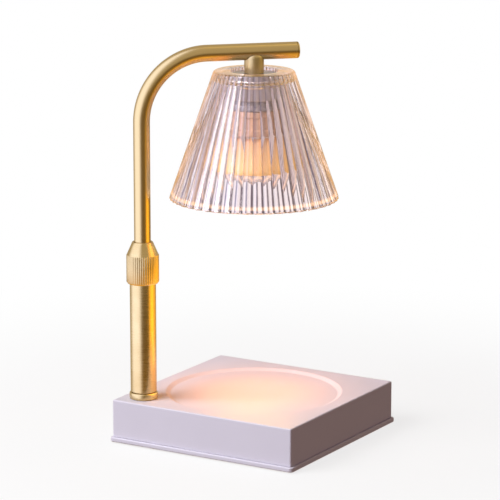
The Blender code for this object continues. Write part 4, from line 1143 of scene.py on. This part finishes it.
class LAMP_OT_shade_ring(bpy.types.Operator):
    """Models the notched ring that holds the glass"""
    bl_idname = "lamp.shade_ring"
    bl_label = "Shade Ring"
    NOTCHES = 24

    def execute(self, context):
        low, high = SHADE_RING_LOW.z, SHADE_RING_HIGH.z
        outer, inner = SHADE_RING_HIGH.x, CUP_HIGH.x + GAP
        edge, notch = 0.0005, 0.0012
        rings = [(inner, low, 0), (outer - 2 * notch, low, 0), (outer - edge, low, notch),
                 (outer, low + edge, notch), (outer, high - edge, notch), (outer - edge, high, notch),
                 (outer - 2 * notch, high, 0), (inner, high, 0)]
        ring = lobed("glass_ring", SHADE_AXIS, rings, self.NOTCHES, 8)
        smooth(ring, angle=math.radians(40))
        hand_over(ring, "arm", "steel", "cup_steel", "shade_ring")
        return {"FINISHED"}


class LAMP_OT_lamp_holder(bpy.types.Operator):
    """Models the twist-lock holder of the bulb"""
    bl_idname = "lamp.lamp_holder"
    bl_label = "Lamp Holder"
    GROOVE_PITCH = 0.0040
    PILLAR = 0.0024
    KEYHOLE = 0.0026
    KEYHOLE_DEPTH = 0.0074
    TWIST = math.radians(25)

    def execute(self, context):
        radius, low = HOLDER_HIGH.x, HOLDER_LOW.z
        top = low + context.scene.lamp_shade.holder_body
        groove, edge = 0.0005, 0.0008
        section = [(0, low, 0), (radius, low, edge)]
        for step in range(1, 4):
            height = low + self.GROOVE_PITCH * step
            section += [(radius, height - groove, groove / 3), (radius - groove, height, groove / 3),
                        (radius, height + groove, groove / 3)]
        section += [(radius, top - edge, 0.0003), (radius - 0.0010, top, 0.0002), (0, top, 0)]
        holder = turned("bulb_holder", section, ROUND, steps=2)
        for index in (1, 2):
            screw = f"holder_screw_{index}"
            centre, head = boxed_middle(screw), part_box(screw)[0].z
            cut(holder, rod("pillar", centre, self.PILLAR, top - OVERRUN, HOLDER_HIGH.z), "UNION")
            cut(holder, rod("screw_way", centre, SCREW_SHANK_ROOM, low - OVERRUN, HOLDER_HIGH.z + OVERRUN))
            cut(holder, rod("head_way", centre, SCREW_HEAD_ROOM, low - OVERRUN, head + OVERRUN))
            self.cut_pin_slot(holder, boxed_middle(f"bulb_pin_{index}"), low)
        smooth(holder)
        hand_over(holder, "arm", "dark_ceramic", "dark_plastic", "lamp_holder")
        return {"FINISHED"}

    def cut_pin_slot(self, holder, pin, low):
        """A pin's keyhole: overlapping holes along the arc that the pin turns through."""
        spread = math.hypot(pin.x, pin.y)
        start = math.atan2(pin.y, pin.x)
        for step in range(5):
            angle = start - self.TWIST * step / 4
            place = (spread * math.cos(angle), spread * math.sin(angle))
            cut(holder, rod("keyhole", place, self.KEYHOLE, low - OVERRUN, low + self.KEYHOLE_DEPTH))


class LAMP_OT_bulb(bpy.types.Operator):
    """Models the reflector bulb"""
    bl_idname = "lamp.bulb"
    bl_label = "Reflector Bulb"

    def execute(self, context):
        self.make_base()
        self.make_pins()
        self.make_reflector()
        self.make_lens()
        self.make_capsule()
        return {"FINISHED"}

    def make_base(self):
        """The ceramic base, with a waist, and hollow below for the reflector's neck."""
        radius, low, high = BULB_BASE_HIGH.x, BULB_BASE_LOW.z, BULB_BASE_HIGH.z
        socket, depth, pin_bore = 0.0082, 0.0070, 0.0015
        waist, edge, corner = 0.0008, 0.0004, 0.0010
        band, waist_end = 0.0045, 0.0050
        section = [(0, high, 0), (radius, high, corner), (radius, high - band, edge),
                   (radius - waist, high - waist_end, edge), (radius - waist, low + waist_end, edge),
                   (radius, low + band, edge), (radius, low, corner), (socket, low, 0),
                   (socket, low + depth, 0), (0, low + depth, 0)]
        base = turned("bulb_foot", section, ROUND)
        for index in (1, 2):
            pin = f"bulb_pin_{index}"
            cut(base, rod("pin_bore", boxed_middle(pin), pin_bore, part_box(pin)[0].z - GAP, high + OVERRUN))
        smooth(base)
        hand_over(base, "bulb", "ceramic", "ceramic", "bulb_base")

    def make_pins(self):
        for index in (1, 2):
            low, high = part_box(f"bulb_pin_{index}")
            centre = (low + high) / 2
            shank, head, under_head = 0.0012, (high.x - low.x) / 2, high.z - 0.0018
            section = [(0, low.z, 0), (shank, low.z, 0.0002), (shank, under_head, 0),
                       (head, under_head, 0.0003), (head, high.z, 0.0004), (0, high.z, 0)]
            pin = turned(f"contact_pin_{index}", section, SMALL, (centre.x, centre.y, 0))
            smooth(pin)
            hand_over(pin, "bulb", "steel", "steel", f"bulb_pin_{index}")

    def make_reflector(self):
        """A parabola that opens downwards, mirrored inside and glowing outside."""
        wall, throat, radius = 0.0011, 0.0079, REFLECTOR_HIGH.x
        low = REFLECTOR_LOW.z
        top, rim = BULB_BASE_LOW.z - 0.0015, low + 0.0028
        steps = 18
        curve = []
        for step in range(steps + 1):
            share = step / steps
            reach = math.sqrt(throat ** 2 + share * (radius ** 2 - throat ** 2))
            curve.append((reach, top + share * (rim - top)))
        outside = [(throat, REFLECTOR_HIGH.z, 0)] + [(*point, 0) for point in curve]
        outside += [(radius, low, 0.0004), (radius - wall, low, 0.0004)]
        inside = [(x - wall, y, 0) for x, y in reversed(curve)] + [(throat - wall, REFLECTOR_HIGH.z, 0)]
        reflector = turned("reflector", outside + inside, ROUND)
        smooth(reflector, angle=math.radians(40))
        hand_over(reflector, "bulb", "mirror", "reflector_glow", "bulb_reflector")
        reflector.data.materials.append(finish("mirror"))
        for face in reflector.data.polygons:
            centre = Vector((face.center.x, face.center.y, 0))
            if face.normal.dot(centre) < 0 or centre.length < throat:
                face.material_index = 1

    def make_lens(self):
        radius, low, high = LENS_HIGH.x, LENS_LOW.z, LENS_HIGH.z
        thick = 0.0014
        section = [(0, low, 0), (radius * 0.5, low + 0.0002, 0), (radius, high - thick, 0.0003),
                   (radius, high, 0.0002), (0, high, 0)]
        lens = turned("front_glass", section, ROUND)
        smooth(lens)
        hand_over(lens, "bulb", "bulb_glass", "bulb_glass", "bulb_lens")

    def make_capsule(self):
        radius, low, high = CAPSULE_HIGH.x, CAPSULE_LOW.z, CAPSULE_HIGH.z
        pinch, pinch_start, pinch_end = radius * 0.8, high - 0.0050, high - 0.0045
        section = [(0, low, 0), (radius * 0.3, low, 0.0004), (radius, low + radius, radius * 0.7),
                   (radius, pinch_start, 0.0010), (pinch, pinch_end, 0.0004), (pinch, high, 0),
                   (0, high, 0)]
        capsule = turned("lit_capsule", section, SMALL)
        smooth(capsule)
        hand_over(capsule, "bulb", "bulb_glass", "bulb_glass", "bulb_capsule")


class LAMP_OT_slack(bpy.types.Operator):
    """Models the lead from the terminal block up the post, coiled there so that the arm can slide"""
    bl_idname = "lamp.slack"
    bl_label = "Slack Lead"
    RADIUS = 0.0015
    BEND = 0.0050
    SWING = 0.0045
    TURNS = 4
    POINTS = 24

    def execute(self, context):
        block_low, block_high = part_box("terminal_block")
        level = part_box("base_lead")[0].z + self.RADIUS
        start = Vector(((block_low.x + block_high.x) / 2, block_low.y - GAP, level))
        foot = Vector((*POST_AXIS.xy, level + self.BEND))
        top = Vector((*POST_AXIS.xy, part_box("arm_lead")[0].z - GAP))
        leaving = start - Vector((0, (start - foot).length / 2, 0))
        route = interpolate_bezier(start, leaving, foot - UP * self.BEND, foot, self.POINTS)
        steps = self.POINTS * self.TURNS
        for step in range(1, steps + 1):
            share = step / steps
            swing = self.SWING * math.sin(math.pi * share) ** 2
            angle = self.TURNS * math.tau * share
            aside = Vector((swing * math.cos(angle), swing * math.sin(angle), 0))
            route.append(foot.lerp(top, share) + aside)
        lead = tube("slack_lead", route, self.RADIUS)
        smooth(lead)
        lead.data.materials.append(finish("sheath"))
        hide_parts("base_lead", "post_lead")
        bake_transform(lead)
        return {"FINISHED"}


INNER_FINISHES = {
    "ballast_plate": "steel",
    "terminal_block": "white_ceramic",
    "terminal_screw_1": "steel",
    "terminal_screw_2": "steel",
    "gland_nut": "dark_plastic",
    "post_washer": "steel",
    "post_lock_nut": "steel",
    "arm_lead": "sheath",
    "clamp_collet": "dark_plastic",
    "guide_bush": "dark_plastic",
    "retaining_ring": "steel",
    "neck_nipple": "steel",
    "nipple_nut": "steel",
    "holder_screw_1": "steel",
    "holder_screw_2": "steel",
}


class LAMP_OT_inner_parts(bpy.types.Operator):
    """Finishes the pieces inside that keep their construction shape"""
    bl_idname = "lamp.inner_parts"
    bl_label = "Inner Parts"

    def execute(self, context):
        for name, material in INNER_FINISHES.items():
            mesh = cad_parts[name].data
            mesh.materials.clear()
            mesh.materials.append(finish(material))
        return {"FINISHED"}


# Floor, light and camera

class LAMP_OT_stage(bpy.types.Operator):
    """Sets the floor, the soft light and the camera"""
    bl_idname = "lamp.stage"
    bl_label = "Stage"

    def execute(self, context):
        self.make_floor()
        self.make_world(context.scene)
        self.make_lights()
        self.make_camera(context.scene)
        context.scene.view_settings.view_transform = "Standard"
        return {"FINISHED"}

    def make_floor(self):
        """A pale floor that keeps the lamp's shadow and fades into the backdrop."""
        deselect()
        bpy.ops.mesh.primitive_plane_add(size=6, location=(0, 0, 0))
        floor = named("floor")
        made, tree, shader = new_material("floor", {"Roughness": 0.8, "Specular IOR Level": 0.1})
        where = object_place(tree)
        grain = noise(tree, where, 60.0)
        feed(shader, {"Base Color": mixed(tree, grain, (0.90, 0.90, 0.90), (0.88, 0.88, 0.88))})
        white = node(tree, "ShaderNodeEmission", {"Color": (1, 1, 1, 1), "Strength": 1.0})
        seen = node(tree, "ShaderNodeLightPath").outputs["Is Camera Ray"]
        faded = ranged(tree, length_of(tree, where), 0.78, 1.0, 0.12, 0.50, True)
        share = maths(tree, "MULTIPLY", seen, faded)
        blend = node(tree, "ShaderNodeMixShader", {0: share, 1: shader.outputs[0], 2: white.outputs[0]})
        tree.links.new(blend.outputs[0], tree.nodes["Material Output"].inputs["Surface"])
        floor.data.materials.append(made)
        floor.visible_diffuse = False
        floor.visible_glossy = False
        floor.visible_transmission = False

    def make_world(self, scene):
        """White backdrop, a room for gloss and glass to show, and a soft fill for all else."""
        world = bpy.data.worlds.new("studio")
        world.use_nodes = True
        scene.world = world
        tree = world.node_tree
        tree.nodes.clear()
        towards = node(tree, "ShaderNodeTexCoord").outputs["Generated"]
        path = node(tree, "ShaderNodeLightPath")
        room = self.room_colour(tree, towards)
        streaked = mixed(tree, path.outputs["Is Transmission Ray"], room, self.streaks(tree, towards))
        backdrop = mixed(tree, path.outputs["Is Camera Ray"], streaked, (1, 1, 1))
        seen = node(tree, "ShaderNodeBackground", {"Color": backdrop, "Strength": 1.0})
        fill = node(tree, "ShaderNodeBackground", {"Color": (1.0, 0.70, 0.66, 1), "Strength": 0.185})
        share = backdrop_seen(tree)
        blend = node(tree, "ShaderNodeMixShader", {0: share, 1: fill.outputs[0], 2: seen.outputs[0]})
        output = tree.nodes.new("ShaderNodeOutputWorld")
        tree.links.new(blend.outputs[0], output.inputs["Surface"])

    def room_colour(self, tree, towards):
        """What metal shows: a pale room with a soft white window to the left and a dark wall ahead."""
        height = height_of(tree, towards)
        low = ranged(tree, height, 1.0, 0.0, -0.20, 0.12, True)
        below = ranged(tree, height, 1.0, 0.0, -0.85, -0.30, True)
        window = self.zone(tree, towards, math.radians(-124), 0.45, 0.93)
        shine = self.zone(tree, towards, math.radians(42), 0.80, 0.96)
        corner = maths(tree, "MULTIPLY", self.zone(tree, towards, math.radians(20), 0.20, 0.65), low)
        wall = maths(tree, "MULTIPLY", self.zone(tree, towards, math.radians(-38), 0.66, 0.95), low)
        colour_seen = mixed(tree, window, (0.62, 0.54, 0.42), (1.70, 1.78, 2.50))
        for mask, colour_there in ((shine, (1.20, 0.98, 0.55)), (corner, (0.25, 0.16, 0.05)),
                                   (wall, (0.12, 0.075, 0.022)), (below, (1.20, 0.66, 0.13))):
            colour_seen = mixed(tree, mask, colour_seen, colour_there)
        return colour_seen

    def streaks(self, tree, towards):
        """What glass shows: upright bands of light and mauve shade round the horizon."""
        inputs = {"W": heading_of(tree, towards), "Scale": 3.5, "Detail": 2.0}
        bands = node(tree, "ShaderNodeTexNoise", inputs, noise_dimensions="1D").outputs["Fac"]
        light = ranged(tree, bands, 0.0, 1.0, 0.42, 0.58, True)
        return mixed(tree, light, (0.20, 0.15, 0.19), (1.12, 1.06, 1.07))

    def zone(self, tree, towards, heading, start, full):
        """A mask that rises as a direction nears a heading round the lamp."""
        flat = node(tree, "ShaderNodeVectorMath", {0: towards, 1: (1, 1, 0)}, operation="MULTIPLY")
        level = node(tree, "ShaderNodeVectorMath", {0: flat.outputs[0]}, operation="NORMALIZE").outputs[0]
        aim = (math.cos(heading), math.sin(heading), 0)
        near = node(tree, "ShaderNodeVectorMath", {0: level, 1: aim}, operation="DOT_PRODUCT")
        return ranged(tree, near.outputs["Value"], 0.0, 1.0, start, full, True)

    def make_lights(self):
        key = self.add_area("key", Vector((-0.95, -1.40, 1.45)), 1.6, 56.0, (0.96, 0.985, 1.0))
        key.visible_glossy = False
        heading = math.radians(18)
        side = POST_AXIS + Vector((math.cos(heading), math.sin(heading), 0)) * 0.080
        for index, height in enumerate((0.055, 0.090, 0.125, 0.160, 0.195)):
            place = (side.x, side.y, height)
            glow = self.add_point(f"glow_{index + 1}", place, 0.040, 0.055, (1.0, 0.52, 0.01))
            glow.visible_diffuse = False
            glow.visible_transmission = False
        lowest = self.add_point("glow_6", (0, 0, 0.078), 0.050, 0.10, (1.0, 0.50, 0.03))
        lowest.visible_diffuse = False
        for index in range(6):
            turn = math.tau * index / 6
            place = (0.030 * math.cos(turn), 0.030 * math.sin(turn), 0.060)
            warmth = self.add_point(f"warmth_{index + 1}", place, 0.012, 0.020, (1.0, 0.32, 0.02))
            warmth.visible_glossy = False
            warmth.visible_transmission = False

    def add_point(self, name, place, radius, power, tint):
        deselect()
        bpy.ops.object.light_add(type="POINT", location=place)
        light = named(name)
        light.data.shadow_soft_size = radius
        light.data.energy = power
        light.data.color = tint
        light.visible_camera = False
        return light

    def add_area(self, name, place, size, power, tint):
        deselect()
        aim = (Vector((0, 0, 0.12)) - place).to_track_quat("-Z", "Y").to_euler()
        bpy.ops.object.light_add(type="AREA", location=place, rotation=aim)
        light = named(name)
        light.data.size = size
        light.data.energy = power
        light.data.color = tint
        return light

    def make_camera(self, scene):
        """A long lens, 31 degrees round from the front and 13 degrees above the lamp."""
        azimuth, elevation = math.radians(30.94), math.radians(12.594)
        target, distance = Vector((-0.0025, -0.0015, 0.1380)), 2.0498
        back = Vector((math.sin(azimuth) * math.cos(elevation), -math.cos(azimuth) * math.cos(elevation),
                       math.sin(elevation)))
        deselect()
        bpy.ops.object.camera_add(location=target + back * distance,
                                  rotation=(math.pi / 2 - elevation, 0, azimuth))
        camera = named("camera")
        camera.data.sensor_width = 36.0
        camera.data.lens = 202.95
        scene.camera = camera


def backdrop_seen(tree):
    """One for the rays that show the white backdrop: from the camera, off gloss and through glass."""
    path = node(tree, "ShaderNodeLightPath")
    first = maths(tree, "MAXIMUM", path.outputs["Is Camera Ray"], path.outputs["Is Glossy Ray"])
    return maths(tree, "MAXIMUM", first, path.outputs["Is Transmission Ray"])


# The order of work, the panel and the registration

OPERATORS = (
    LAMP_OT_stage,
    LAMP_OT_housing,
    LAMP_OT_base_plate,
    LAMP_OT_feet_and_screws,
    LAMP_OT_gland,
    LAMP_OT_post,
    LAMP_OT_clamp_nut,
    LAMP_OT_arm,
    LAMP_OT_neck_and_cup,
    LAMP_OT_shade,
    LAMP_OT_shade_ring,
    LAMP_OT_lamp_holder,
    LAMP_OT_bulb,
    LAMP_OT_slack,
    LAMP_OT_inner_parts,
)


class LAMP_PT_panel(bpy.types.Panel):
    """Lists the lamp's pieces, sizes and colours"""
    bl_label = "Warmer Lamp"
    bl_idname = "LAMP_PT_panel"
    bl_space_type = "VIEW_3D"
    bl_region_type = "UI"
    bl_category = "Warmer Lamp"

    def draw(self, context):
        for operator in OPERATORS:
            self.layout.operator(operator.bl_idname)
        for name, kind in GROUPS.items():
            box = self.layout.box()
            box.label(text=kind.__doc__)
            for setting in kind.__annotations__:
                box.prop(getattr(context.scene, name), setting)


GROUPS = {
    "lamp_base": LampBaseSizes,
    "lamp_stem": LampStemSizes,
    "lamp_shade": LampShadeSizes,
    "lamp_finish": LampFinish,
}


def register():
    for kind in (*GROUPS.values(), *OPERATORS, LAMP_PT_panel):
        bpy.utils.register_class(kind)
    for name, kind in GROUPS.items():
        setattr(bpy.types.Scene, name, bpy.props.PointerProperty(type=kind))


def unregister():
    for name in GROUPS:
        delattr(bpy.types.Scene, name)
    for kind in reversed((*GROUPS.values(), *OPERATORS, LAMP_PT_panel)):
        bpy.utils.unregister_class(kind)


def main():
    register()
    for operator in OPERATORS:
        getattr(bpy.ops.lamp, operator.bl_idname.split(".")[1])()
    bpy.context.view_layer.update()


if __name__ == "__main__":
    main()
